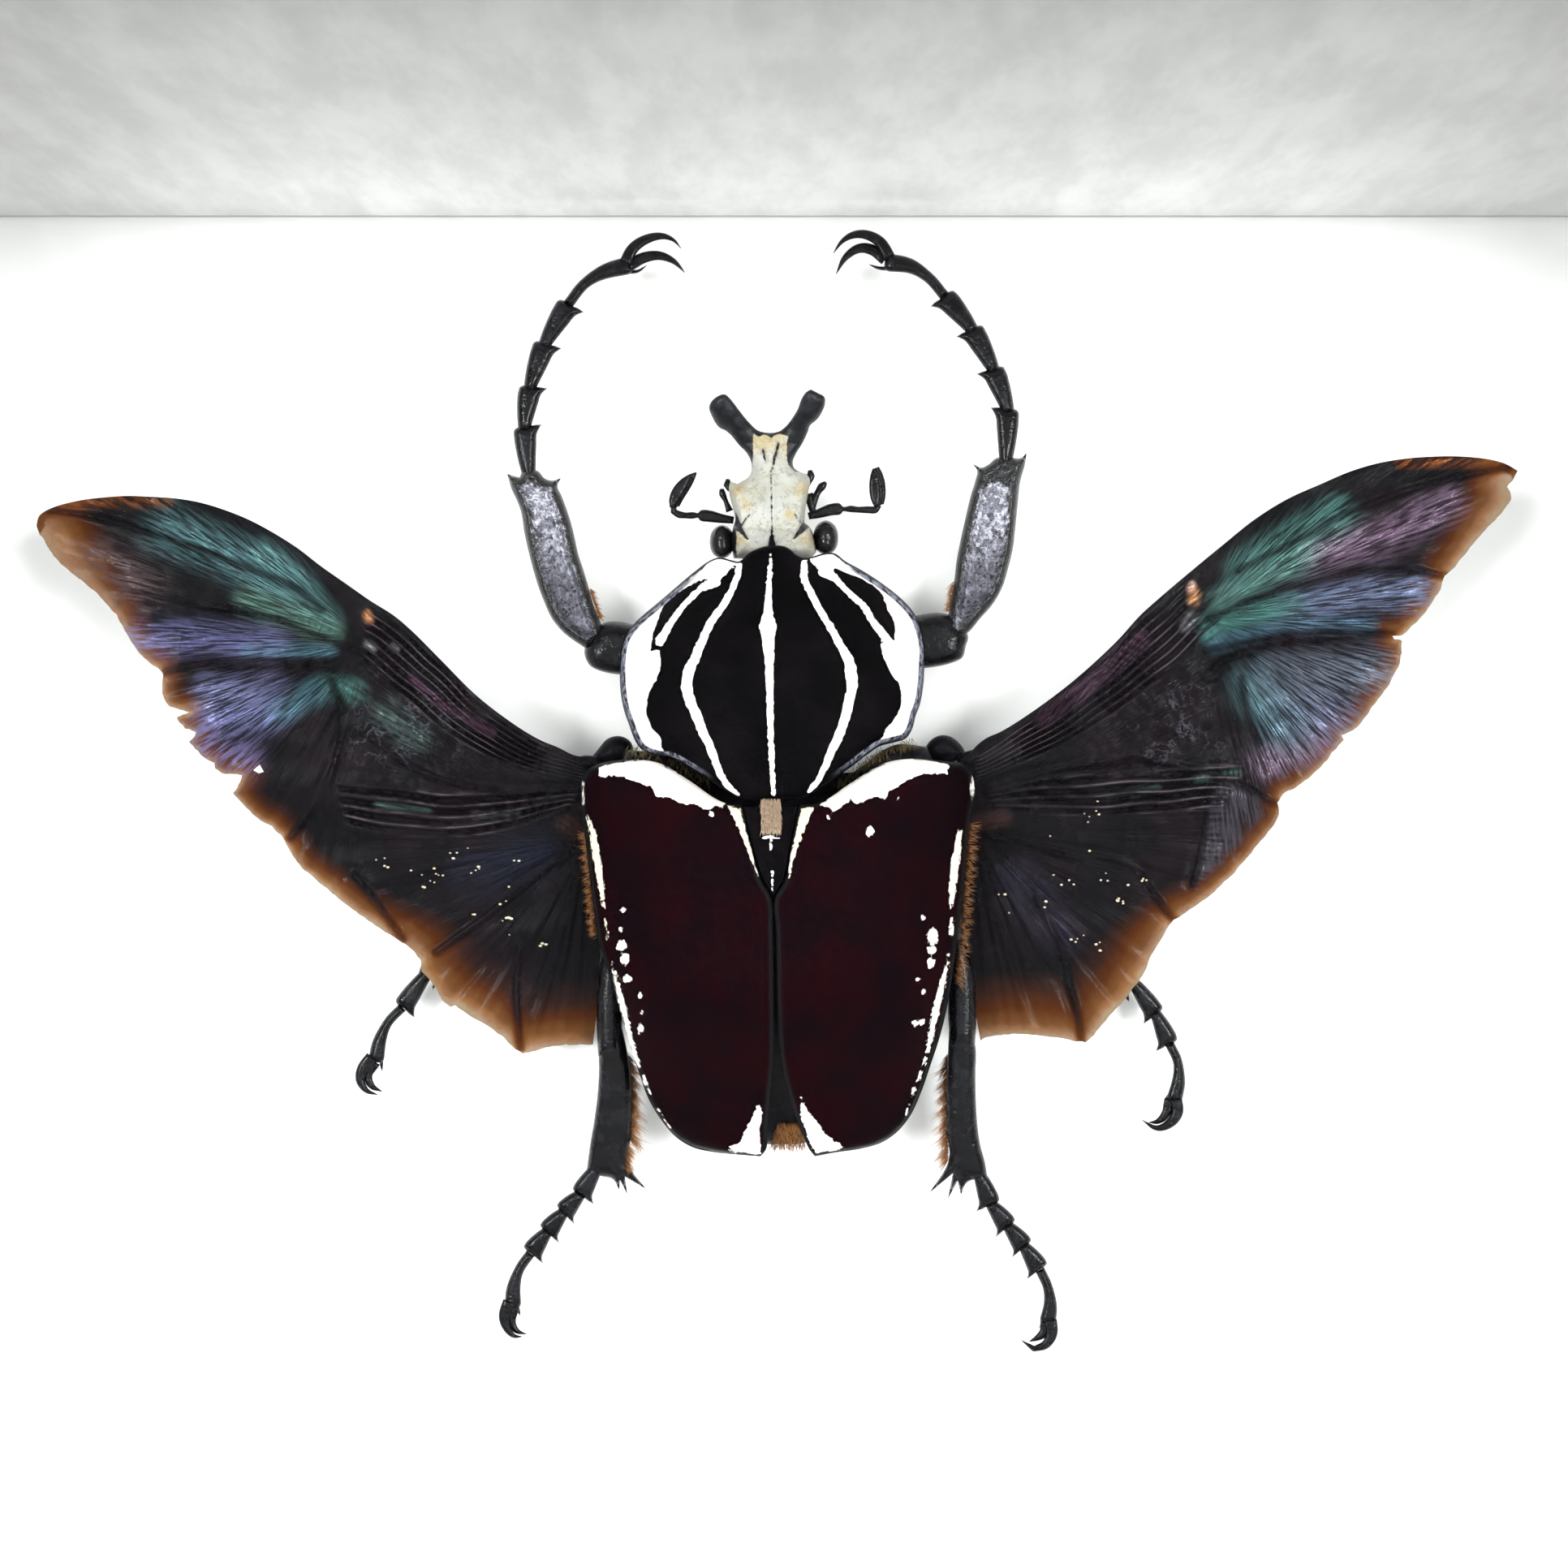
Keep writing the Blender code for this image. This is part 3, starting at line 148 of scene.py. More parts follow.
# Wing outlines: the leading edge from root to tip, then the outer edge back to the root
WINGS = {
    "hindwing_left": {
        "leading": [
            (-22.3, 2.3), (-24.3, 3.2), (-26.0, 3.6), (-27.8, 4.5), (-30.0, 5.4),
            (-33.6, 7.6), (-38.0, 11.0), (-42.0, 15.0), (-46.0, 19.0), (-48.0, 20.7),
            (-51.0, 22.6), (-54.0, 24.7), (-57.0, 26.8), (-60.0, 29.1), (-63.0, 31.0),
            (-66.0, 32.6), (-69.0, 33.8), (-72.0, 34.7), (-75.0, 35.2), (-78.0, 35.4),
            (-81.0, 35.5), (-84.0, 35.3), (-87.0, 34.9), (-90.7, 33.8), (-91.8, 33.0),
            (-92.1, 31.8)],
        "outer": [
            (-91.7, 30.7), (-90.7, 29.2), (-89.3, 27.4), (-86.0, 24.6), (-84.0, 22.8),
            (-82.3, 20.8), (-81.0, 18.5), (-80.0, 16.9), (-78.5, 15.2), (-77.0, 14.1),
            (-76.5, 13.5), (-76.6, 11.8), (-76.3, 10.3), (-75.7, 9.5), (-74.0, 9.1),
            (-73.3, 8.8), (-74.8, 8.3), (-74.5, 7.6), (-73.8, 6.8), (-72.4, 6.4),
            (-72.6, 5.9), (-73.3, 5.3), (-72.5, 4.4), (-71.5, 3.3), (-70.2, 2.6),
            (-70.1, 1.9), (-69.3, 1.3), (-67.5, 1.2), (-66.8, 1.1), (-67.0, 0.3),
            (-67.9, -1.1), (-66.5, -2.7), (-64.8, -4.2), (-63.1, -5.3), (-62.0, -6.3),
            (-61.2, -7.7), (-60.0, -9.6), (-58.0, -11.5), (-56.0, -13.2), (-54.0, -14.8),
            (-52.0, -16.3), (-50.0, -17.7), (-48.0, -18.9), (-46.3, -20.0), (-44.8, -21.6),
            (-44.7, -23.0), (-43.0, -25.0), (-42.0, -26.7), (-41.1, -27.5), (-40.5, -27.2),
            (-39.0, -28.4), (-36.5, -29.8), (-34.5, -31.3), (-32.8, -32.9), (-32.2, -33.2),
            (-31.0, -33.0), (-29.0, -32.4), (-26.0, -32.1), (-23.6, -32.1)],
        "root": [(-22.8, -26.0), (-22.6, -20.0), (-22.2, -14.0), (-22.1, -8.0),
                 (-22.3, -3.0)],
        "hole": [(-65.4, 1.7), (-64.6, 2.4), (-64.1, 1.5), (-64.7, 1.3)],
        "hinge": (-51.0, 17.5),
        "fan": (-24.0, -6.5),
        "bundles": [
            ([(-24.5, 2.6), (-30.0, 5.0), (-36.0, 9.0), (-42.0, 14.4), (-46.0, 18.4),
              (-51.0, 22.0)],
             [(-24.6, 0.0), (-30.0, 1.0), (-36.5, 3.4), (-43.0, 7.4), (-48.0, 11.8),
              (-52.0, 15.2)], 7.0),
            ([(-25.2, -0.6), (-33.0, -1.2), (-42.0, -1.0), (-50.0, -0.4), (-55.0, 0.2)],
             [(-26.5, -3.0), (-34.0, -5.6), (-42.0, -6.6), (-49.0, -6.2), (-54.0, -5.0)],
             4.0)],
        "veins": [
            [(-90.7, 33.8), (-84.0, 32.7), (-77.0, 30.5), (-72.0, 28.9), (-66.0, 26.5),
             (-60.0, 24.0), (-57.0, 21.5)],
            [(-72.0, 21.9), (-65.0, 21.0), (-60.0, 19.4), (-55.0, 17.3), (-51.5, 16.0)],
            [(-76.3, 13.8), (-72.0, 14.8), (-66.0, 15.2), (-60.0, 15.2), (-55.5, 15.3)],
            [(-70.0, 14.2), (-62.0, 14.5), (-55.3, 13.9)],
            [(-56.0, 13.0), (-54.5, 9.0), (-55.0, 4.0), (-57.0, -1.0), (-60.8, -6.6)],
            [(-32.6, -20.0), (-33.0, -26.0), (-32.5, -32.5)],
            [(-25.2, -0.6), (-32.0, -0.9), (-41.0, 0.2), (-47.0, 2.8), (-51.0, 5.8)],
            [(-25.0, -1.6), (-33.0, -2.4), (-42.0, -2.6), (-49.0, -1.6), (-54.0, -1.0)],
            [(-27.0, -3.0), (-34.0, -4.2), (-41.0, -4.6), (-47.0, -3.8)],
            [(-24.9, -7.8), (-31.0, -11.8), (-37.0, -16.4), (-42.9, -20.7)],
            [(-53.0, -11.0), (-50.0, -14.8), (-47.0, -19.0)],
        ],
        "tints": [
            ([(-76.0, 31.5), (-68.0, 28.0), (-61.0, 24.5)], 2.6, (0.12, 0.38, 0.43)),
            ([(-84.0, 28.0), (-79.0, 24.5)], 2.6, (0.17, 0.10, 0.11)),
            ([(-64.0, 28.0), (-59.5, 23.5), (-56.5, 20.5)], 1.6, (0.16, 0.54, 0.54)),
            ([(-66.0, 22.5), (-60.0, 20.6), (-56.0, 18.8)], 1.5, (0.22, 0.58, 0.42)),
            ([(-80.0, 17.6), (-72.0, 18.0), (-63.0, 17.2)], 1.9, (0.26, 0.26, 0.72)),
            ([(-66.0, 16.4), (-56.0, 16.4)], 0.9, (0.12, 0.42, 0.60)),
            ([(-71.0, 11.8), (-63.0, 12.0)], 1.8, (0.22, 0.24, 0.56)),
            ([(-70.0, 8.2), (-64.0, 8.4)], 2.2, (0.22, 0.24, 0.62)),
            ([(-62.0, 9.0), (-57.6, 11.4)], 1.5, (0.10, 0.36, 0.50)),
            ([(-71.5, 5.0), (-67.0, 3.2)], 2.4, (0.26, 0.20, 0.52)),
            ([(-56.0, 12.4), (-53.0, 11.4)], 1.4, (0.08, 0.34, 0.30)),
            ([(-51.4, 20.9), (-51.1, 20.2)], 0.5, (1.60, 0.55, 0.10)),
            ([(-51.2, 17.2), (-50.7, 16.8)], 0.5, (0.60, 0.60, 0.66)),
            ([(-48.2, 17.0), (-47.8, 16.6)], 0.4, (0.50, 0.50, 0.56)),
            ([(-46.0, 13.0), (-42.0, 9.8), (-36.0, 6.2)], 0.5, (0.24, 0.07, 0.18)),
            ([(-49.0, 8.5), (-45.5, 5.5)], 1.8, (0.10, 0.17, 0.16)),
            ([(-50.0, -2.6), (-44.0, -3.2)], 0.5, (0.14, 0.28, 0.24)),
            ([(-38.0, -3.9), (-33.0, -3.9)], 0.5, (0.16, 0.18, 0.22)),
            ([(-38.0, -11.0), (-30.0, -9.0)], 3.0, (0.03, 0.04, 0.09)),
            ([(-27.0, -5.0), (-24.0, -6.8)], 1.0, (0.16, 0.07, 0.06)),
        ],
        "lead_color": [(-90.0, 34.3), (-84.0, 34.9), (-76.0, 34.7)],
        "dust": [(-49.4, -9.6), (-45.6, -10.4), (-44.0, -10.6), (-42.6, -11.6),
                 (-41.0, -8.8), (-39.2, -8.9), (-38.0, -10.4), (-34.4, -12.7),
                 (-34.7, -14.9), (-34.2, -16.5), (-38.2, -16.4), (-34.0, -19.2),
                 (-29.4, -20.0), (-32.6, -9.2), (-44.2, -12.4)],
    },
    "hindwing_right": {
        "leading": [
            (21.3, 2.6), (22.9, 3.8), (23.8, 4.8), (25.0, 5.7), (26.4, 6.3), (28.0, 7.2),
            (32.0, 9.9), (36.0, 13.0), (41.0, 17.6), (44.0, 20.9), (46.0, 22.7),
            (50.0, 26.1), (54.0, 29.4), (58.0, 32.6), (62.0, 35.1), (66.0, 36.9),
            (70.0, 38.6), (74.0, 39.7), (79.0, 40.3), (85.0, 40.25), (88.8, 39.5),
            (90.4, 38.6)],
        "outer": [
            (89.8, 37.5), (89.1, 36.6), (89.5, 36.0), (89.6, 35.1), (88.5, 33.5),
            (87.0, 31.9), (85.5, 30.3), (84.0, 28.4), (82.3, 26.4), (81.4, 25.6),
            (81.0, 24.3), (79.8, 22.3), (78.0, 20.0), (76.2, 18.4), (75.0, 18.2),
            (75.2, 17.8), (76.1, 17.7), (76.1, 16.2), (75.7, 14.5), (74.8, 12.7),
            (73.5, 10.8), (72.0, 8.8), (70.5, 6.9), (69.6, 6.3), (68.7, 6.0), (68.9, 5.4),
            (67.5, 3.8), (66.0, 2.0), (64.5, 0.6), (63.0, -0.4), (61.5, -1.3), (61.0, -2.0),
            (60.8, -2.3), (61.0, -3.2), (60.8, -4.2), (60.0, -5.6), (58.5, -7.3),
            (57.0, -9.2), (55.0, -11.4), (53.0, -13.3), (51.0, -14.8), (49.0, -16.2),
            (48.0, -16.8), (47.0, -18.2), (46.0, -19.9), (45.0, -21.6), (44.2, -23.6),
            (43.0, -25.2), (41.8, -26.8), (40.5, -28.1), (39.0, -29.9), (37.6, -31.5),
            (37.1, -31.9), (36.0, -31.7), (34.0, -31.3), (31.0, -30.9), (28.0, -30.8),
            (25.5, -31.1), (24.2, -31.5)],
        "root": [(23.2, -26.0), (22.7, -20.0), (21.5, -14.0), (21.2, -8.0), (21.2, -3.0)],
        "hinge": (51.5, 20.5),
        "fan": (23.2, -5.5),
        "bundles": [
            ([(23.8, 3.8), (28.0, 6.6), (34.0, 10.9), (40.0, 16.2), (45.5, 21.6),
              (50.0, 25.4)],
             [(23.8, 0.4), (30.0, 2.8), (36.0, 5.8), (42.0, 9.6), (48.0, 14.4),
              (52.0, 18.0)], 7.0),
            ([(25.0, -0.8), (33.0, 0.8), (42.0, 1.4), (50.0, 2.0), (57.0, 2.4)],
             [(26.0, -3.2), (33.0, -3.8), (41.0, -3.8), (48.0, -3.4), (54.0, -2.8)], 4.0)],
        "veins": [
            [(89.3, 39.1), (84.0, 38.0), (78.0, 36.5), (72.0, 34.4), (68.0, 32.8),
             (64.0, 30.5), (60.0, 28.5), (56.0, 26.2)],
            [(81.5, 25.6), (78.0, 26.3), (74.0, 26.4), (70.0, 26.0), (66.0, 25.0),
             (60.0, 23.5), (55.0, 21.5), (52.3, 20.2)],
            [(75.0, 18.4), (68.0, 18.8), (62.0, 18.4), (56.0, 17.4), (52.0, 16.5)],
            [(70.0, 17.8), (62.0, 17.4), (56.0, 16.4)],
            [(58.0, 15.9), (54.0, 15.2), (52.5, 13.6)],
            [(56.5, 13.0), (57.0, 9.0), (58.5, 5.0)],
            [(60.6, -2.4), (56.0, 0.0), (51.0, 1.6), (46.0, 2.8), (38.0, 2.6), (25.0, -0.4)],
            [(25.0, -1.2), (33.0, 0.6), (42.0, 0.8), (50.0, 0.4)],
            [(26.0, -2.4), (33.0, -1.6), (41.0, -1.0), (48.0, -1.0)],
            [(53.8, 1.5), (52.5, -2.0), (51.8, -6.0), (51.0, -10.0), (50.3, -12.5)],
            [(25.0, -6.2), (33.0, -8.4), (43.5, -10.5), (45.5, -13.5), (48.0, -16.7)],
            [(31.0, -14.0), (34.0, -20.0), (35.3, -25.0), (36.3, -29.0), (36.6, -31.7)],
        ],
        "tints": [
            ([(57.0, 26.5), (62.0, 29.5), (68.0, 33.0)], 2.2, (0.14, 0.55, 0.50)),
            ([(54.0, 22.5), (58.0, 25.0), (64.0, 28.0)], 1.6, (0.20, 0.56, 0.50)),
            ([(66.0, 28.4), (74.0, 30.5), (82.0, 34.5)], 2.2, (0.36, 0.20, 0.36)),
            ([(64.0, 22.0), (72.0, 23.6), (78.0, 23.6)], 2.2, (0.22, 0.30, 0.58)),
            ([(52.5, 19.2), (57.0, 20.8), (63.0, 22.2)], 1.4, (0.12, 0.58, 0.52)),
            ([(53.0, 17.2), (62.0, 19.6), (72.0, 19.6)], 1.0, (0.10, 0.30, 0.48)),
            ([(60.0, 13.0), (67.0, 14.0), (73.0, 14.0)], 2.6, (0.26, 0.32, 0.46)),
            ([(58.0, 12.0), (62.0, 7.0)], 2.6, (0.12, 0.38, 0.46)),
            ([(63.0, 8.0), (68.0, 8.0)], 3.0, (0.24, 0.26, 0.48)),
            ([(59.0, 2.5), (65.0, 4.5)], 2.0, (0.34, 0.20, 0.34)),
            ([(44.0, 18.0), (38.0, 12.4), (32.0, 8.0)], 0.9, (0.30, 0.12, 0.24)),
            ([(56.0, 1.4), (51.0, 0.6)], 0.5, (0.14, 0.34, 0.28)),
            ([(46.0, -0.6), (40.0, -1.2)], 0.5, (0.12, 0.22, 0.20)),
            ([(50.6, 23.5), (50.4, 22.6)], 0.6, (1.50, 0.60, 0.14)),
            ([(50.3, 24.6), (50.0, 24.1)], 0.4, (1.40, 0.80, 0.62)),
            ([(50.2, 20.4), (49.6, 19.4)], 0.7, (0.55, 0.55, 0.60)),
            ([(34.0, -18.0), (29.0, -12.0)], 2.6, (0.06, 0.05, 0.10)),
            ([(24.0, -4.8), (27.0, -4.2)], 1.0, (0.16, 0.07, 0.06)),
        ],
        "panel": [(53.8, 1.3), (57.0, -0.5), (60.9, -2.7), (60.8, -4.2), (58.5, -7.3),
                  (55.0, -11.4), (52.0, -14.0), (50.3, -12.8), (51.0, -10.0), (51.8, -6.0),
                  (52.5, -2.0)],
        "lead_color": [(88.0, 39.5), (82.0, 39.8), (76.0, 39.6)],
        "dust": [(37.3, -8.6), (33.0, -7.4), (32.8, -11.4), (34.0, -12.8), (35.5, -12.5),
                 (39.9, -11.3), (40.6, -12.0), (41.9, -12.7), (41.5, -13.5), (44.0, -11.9),
                 (41.8, -14.6), (35.8, -18.8), (39.2, -20.1), (26.9, -14.0), (28.0, -14.8),
                 (31.9, -14.8), (39.0, -2.9), (37.3, -4.4)],
    },
}

# Legs: outlines of thigh and shin, then the tarsus joints and the claws
LEGS = {
    "foreleg_left": {
        "heights": (6.0, 5.2, 5.0), "side": 1, "width": 2.5,
        "thigh": [(-17.0, 19.4), (-22.3, 19.8), (-23.8, 18.2), (-24.6, 16.4), (-24.0, 14.7),
                  (-23.3, 14.2), (-20.3, 13.5), (-17.0, 13.8)],
        "shin": [(-24.3, 16.6), (-27.2, 18.7), (-28.6, 20.4), (-29.5, 22.3), (-30.3, 24.4),
                 (-31.2, 27.5), (-32.0, 31.0), (-32.4, 33.5), (-32.9, 34.9), (-33.6, 36.4),
                 (-34.1, 38.2), (-32.6, 37.8), (-32.2, 38.6), (-31.3, 38.9), (-30.2, 38.5),
                 (-29.5, 37.7), (-28.5, 37.4), (-27.5, 37.7), (-27.9, 36.7), (-27.4, 35.5),
                 (-26.5, 33.0), (-25.9, 30.8), (-25.4, 28.5), (-24.6, 26.0), (-24.0, 24.0),
                 (-23.4, 21.9), (-22.5, 19.6), (-22.4, 18.2)],
        "tarsus": [(-31.4, 37.8), (-32.0, 43.9), (-31.3, 48.9), (-29.5, 54.2),
                   (-26.6, 59.1)],
        "foot": [(-26.6, 59.1), (-24.6, 61.6), (-22.4, 63.0), (-18.8, 64.0)],
        "claws": [[(-19.6, 64.2), (-18.6, 66.0), (-17.0, 67.1), (-15.0, 67.5),
                   (-13.6, 67.0), (-12.7, 66.0)],
                  [(-19.2, 63.8), (-17.4, 64.8), (-15.4, 65.1), (-13.6, 64.4),
                   (-12.2, 63.0)],
                  [(-19.4, 63.1), (-18.0, 63.2), (-16.9, 63.9)]],
    },
    "foreleg_right": {
        "heights": (6.0, 5.2, 5.0), "side": -1, "width": 2.5,
        "thigh": [(14.2, 20.4), (20.2, 20.9), (21.8, 19.6), (22.7, 18.2), (22.4, 17.0),
                  (22.0, 15.6), (21.4, 15.2), (17.5, 14.3), (14.2, 14.4)],
        "shin": [(20.0, 19.2), (20.5, 22.5), (21.0, 25.3), (21.3, 27.8), (21.7, 29.8),
                 (22.3, 32.5), (23.0, 35.5), (23.6, 37.5), (23.8, 38.6), (23.3, 39.4),
                 (24.3, 39.0), (25.2, 39.4), (26.2, 40.2), (28.3, 40.2), (29.2, 40.2),
                 (29.9, 40.8), (29.7, 39.4), (29.1, 37.2), (28.8, 34.5), (28.5, 31.5),
                 (28.2, 29.0), (27.6, 26.5), (27.0, 24.5), (25.9, 22.4), (24.1, 20.3),
                 (22.6, 18.6), (21.2, 18.0)],
        "tarsus": [(27.3, 39.6), (27.6, 46.1), (25.8, 51.1), (23.2, 56.0), (19.8, 60.1)],
        "foot": [(19.8, 60.1), (17.8, 62.4), (15.6, 63.8), (12.4, 64.3)],
        "claws": [[(13.0, 64.9), (11.8, 66.8), (10.0, 67.7), (8.4, 67.6), (7.1, 66.8),
                   (6.1, 65.4)],
                  [(12.5, 64.6), (10.9, 65.8), (9.3, 66.0), (7.6, 64.9), (6.4, 62.8)],
                  [(12.8, 63.5), (11.6, 63.6), (10.5, 64.0)]],
    },
    "midleg_left": {
        "heights": (3.6, 3.2, 3.0), "side": -1, "width": 2.2,
        "thigh": [(-21.8, -3.0), (-27.0, -5.0), (-33.0, -8.6), (-32.8, -11.6),
                  (-31.0, -13.2), (-26.0, -10.2), (-21.6, -8.4)],
        "shin": [(-31.0, -9.0), (-36.5, -13.4), (-41.0, -18.2), (-44.6, -22.2),
                 (-45.3, -24.3), (-44.2, -23.6), (-43.4, -24.2), (-43.3, -25.3),
                 (-42.2, -24.2), (-38.8, -20.8), (-34.8, -16.4), (-30.2, -12.4)],
        "tarsus": [(-43.9, -23.2), (-47.0, -27.5)],
        "foot": [(-47.0, -27.5), (-48.8, -29.4), (-49.8, -31.6), (-50.3, -34.3)],
        "claws": [[(-50.8, -33.6), (-52.0, -35.2), (-52.2, -36.6), (-51.4, -37.8),
                   (-50.0, -38.3)],
                  [(-50.4, -34.2), (-51.3, -35.9), (-50.8, -37.2), (-49.5, -37.9)],
                  [(-49.6, -33.8), (-49.6, -34.6), (-49.5, -35.4)]],
    },
    "midleg_right": {
        "heights": (3.6, 3.2, 3.0), "side": 1, "width": 2.2,
        "thigh": [(20.8, -3.0), (26.0, -5.4), (31.4, -9.6), (31.0, -12.6), (29.6, -14.0),
                  (25.0, -10.6), (20.6, -8.4)],
        "shin": [(30.0, -10.0), (34.8, -15.2), (39.2, -19.6), (43.0, -23.2), (44.2, -25.3),
                 (43.0, -24.8), (42.6, -25.4), (42.5, -26.8), (41.2, -25.6),
                 (37.2, -22.2), (32.8, -17.6), (28.8, -13.2)],
        "tarsus": [(43.0, -24.4), (45.8, -28.3), (47.5, -32.0)],
        "foot": [(47.5, -32.0), (48.5, -34.2), (48.6, -36.6), (48.0, -39.2)],
        "claws": [[(48.3, -38.8), (48.5, -40.4), (47.7, -41.7), (46.0, -42.4),
                   (44.1, -41.4)],
                  [(47.6, -38.8), (47.1, -40.6), (46.0, -41.6), (44.9, -41.7)],
                  [(47.4, -38.4), (47.0, -39.1), (46.7, -39.6)]],
    },
    "hindleg_left": {
        "heights": (8.6, 5.4, 3.8), "side": -1, "width": 2.3,
        "thigh": [(-20.6, -17.6), (-22.3, -21.0), (-23.0, -25.0), (-23.1, -29.0),
                  (-22.9, -33.5), (-20.3, -33.1), (-19.9, -29.0), (-20.0, -24.0),
                  (-20.0, -20.0)],
        "shin": [(-22.5, -29.4), (-22.8, -33.0), (-22.8, -35.5), (-23.0, -38.5),
                 (-23.4, -41.5), (-23.9, -44.5), (-24.3, -47.5), (-22.6, -48.3),
                 (-21.1, -48.7), (-20.3, -50.0), (-20.2, -48.8), (-19.3, -50.6),
                 (-19.6, -48.4), (-17.0, -49.9), (-19.2, -46.7), (-18.9, -43.5),
                 (-18.8, -40.0), (-18.9, -36.0), (-19.3, -33.0), (-20.1, -29.4)],
        "tarsus": [(-23.0, -47.2), (-25.1, -50.6), (-27.2, -52.8), (-29.2, -55.2),
                   (-31.2, -57.8)],
        "foot": [(-31.2, -57.8), (-32.6, -59.8), (-33.3, -62.0), (-33.4, -64.6)],
        "claws": [[(-33.9, -63.7), (-34.5, -65.6), (-34.2, -67.0), (-33.3, -68.0),
                   (-32.2, -68.1)],
                  [(-33.3, -64.3), (-33.6, -66.3), (-32.9, -67.4), (-31.7, -67.8)],
                  [(-32.9, -64.2), (-32.7, -64.9), (-32.5, -65.5)]],
    },
    "hindleg_right": {
        "heights": (8.6, 5.4, 3.8), "side": 1, "width": 2.3,
        "thigh": [(20.6, -19.0), (20.3, -24.0), (20.2, -28.0), (20.5, -32.6),
                  (23.5, -32.6), (23.7, -28.0), (23.3, -22.6), (22.3, -19.4)],
        "shin": [(20.4, -29.0), (20.2, -33.0), (20.0, -38.0), (20.1, -43.0),
                 (20.3, -46.3), (17.9, -50.4), (20.8, -48.0), (20.2, -51.1),
                 (21.4, -48.9), (21.8, -50.6), (22.6, -49.1), (25.1, -48.6),
                 (24.8, -46.8), (24.1, -44.0), (23.7, -40.0), (23.6, -36.0),
                 (23.6, -32.4), (22.9, -29.4)],
        "tarsus": [(24.0, -48.0), (25.5, -51.8), (27.6, -54.5), (29.6, -57.0),
                   (31.5, -59.8)],
        "foot": [(31.5, -59.8), (32.5, -62.0), (32.8, -64.2), (32.4, -66.6)],
        "claws": [[(32.9, -66.0), (33.0, -67.8), (32.2, -69.1), (30.8, -69.6),
                   (29.2, -68.5)],
                  [(32.3, -66.2), (32.1, -67.5), (31.3, -68.2), (30.2, -68.7)],
                  [(31.9, -66.0), (31.7, -66.6), (31.4, -67.0)]],
    },
}
ANTENNAE = {
    "antenna_left": {
        "stalk": [(-6.2, 32.5, 1.0), (-7.6, 32.7, 1.3), (-9.2, 33.0, 1.7), (-10.3, 33.1, 1.5),
                  (-10.6, 33.1, 0.7), (-11.3, 33.1, 1.0), (-12.1, 33.1, 0.9),
                  (-12.9, 33.2, 1.05), (-13.6, 33.6, 1.0), (-13.6, 34.4, 0.9)],
        "club": [(-13.5, 34.0, 0.8), (-13.3, 35.0, 1.5), (-12.7, 36.2, 1.8),
                 (-11.8, 37.4, 1.3), (-11.1, 38.2, 0.3)]},
    "antenna_right": {
        "stalk": [(3.0, 33.0, 1.0), (4.2, 33.3, 1.3), (5.8, 33.8, 1.7), (6.9, 33.9, 1.6),
                  (7.3, 33.9, 0.7), (8.2, 33.9, 1.0), (9.2, 33.8, 0.9), (10.2, 33.8, 1.05),
                  (11.3, 33.8, 1.0), (11.7, 34.4, 0.9)],
        "club": [(11.7, 34.2, 0.8), (11.6, 35.2, 1.6), (11.5, 36.6, 1.8), (11.4, 37.9, 1.3),
                 (11.3, 38.9, 0.3)]},
}
ANTENNA_HEIGHT = 10.0

# Abdomen: (v, inset from the wing cases' half width, depth below their top)
ABDOMEN = [
    (1.4, 9.5, 7.0), (-1.0, 5.5, 6.2), (-3.2, 2.8, 3.0), (-8.0, 2.7, 2.6), (-14.0, 2.7, 2.6),
    (-20.0, 2.7, 2.6), (-26.0, 2.7, 2.6), (-32.0, 2.7, 2.6), (-37.0, 2.9, 2.8),
    (-40.5, 3.4, 3.2), (-42.8, 6.0, 3.6), (-44.4, 9.6, 4.4),
]
# Lobes of the thorax round the wing roots: outline, height, half thickness
LOBES = [
    ([(-24.0, 2.9), (-22.9, 4.3), (-21.7, 5.6), (-20.2, 5.9), (-18.9, 5.2), (-18.4, 3.6),
      (-20.4, 2.4)], 9.2, 2.0),
    ([(-26.0, 3.0), (-24.8, 3.5), (-22.8, 3.4), (-22.4, 2.2), (-24.6, 1.6)], 10.6, 1.2),
    ([(22.6, 3.4), (21.8, 4.8), (20.4, 5.9), (18.9, 5.9), (17.6, 4.8), (17.4, 3.2),
      (19.6, 2.4)], 9.2, 2.0),
    ([(24.6, 4.0), (23.2, 4.2), (21.4, 3.6), (21.2, 2.2), (23.4, 2.0)], 10.6, 1.2),
    ([(-19.2, 4.2), (-14.6, 3.6), (-10.5, 1.4), (-7.6, -1.0), (-10.0, -3.0), (-17.0, 0.0),
      (-20.4, 2.0)], 14.0, 3.0),
    ([(17.6, 4.6), (13.6, 4.8), (9.6, 2.2), (5.6, -0.6), (7.0, -2.4), (14.0, 0.8),
      (18.6, 2.4)], 14.0, 3.0),
]

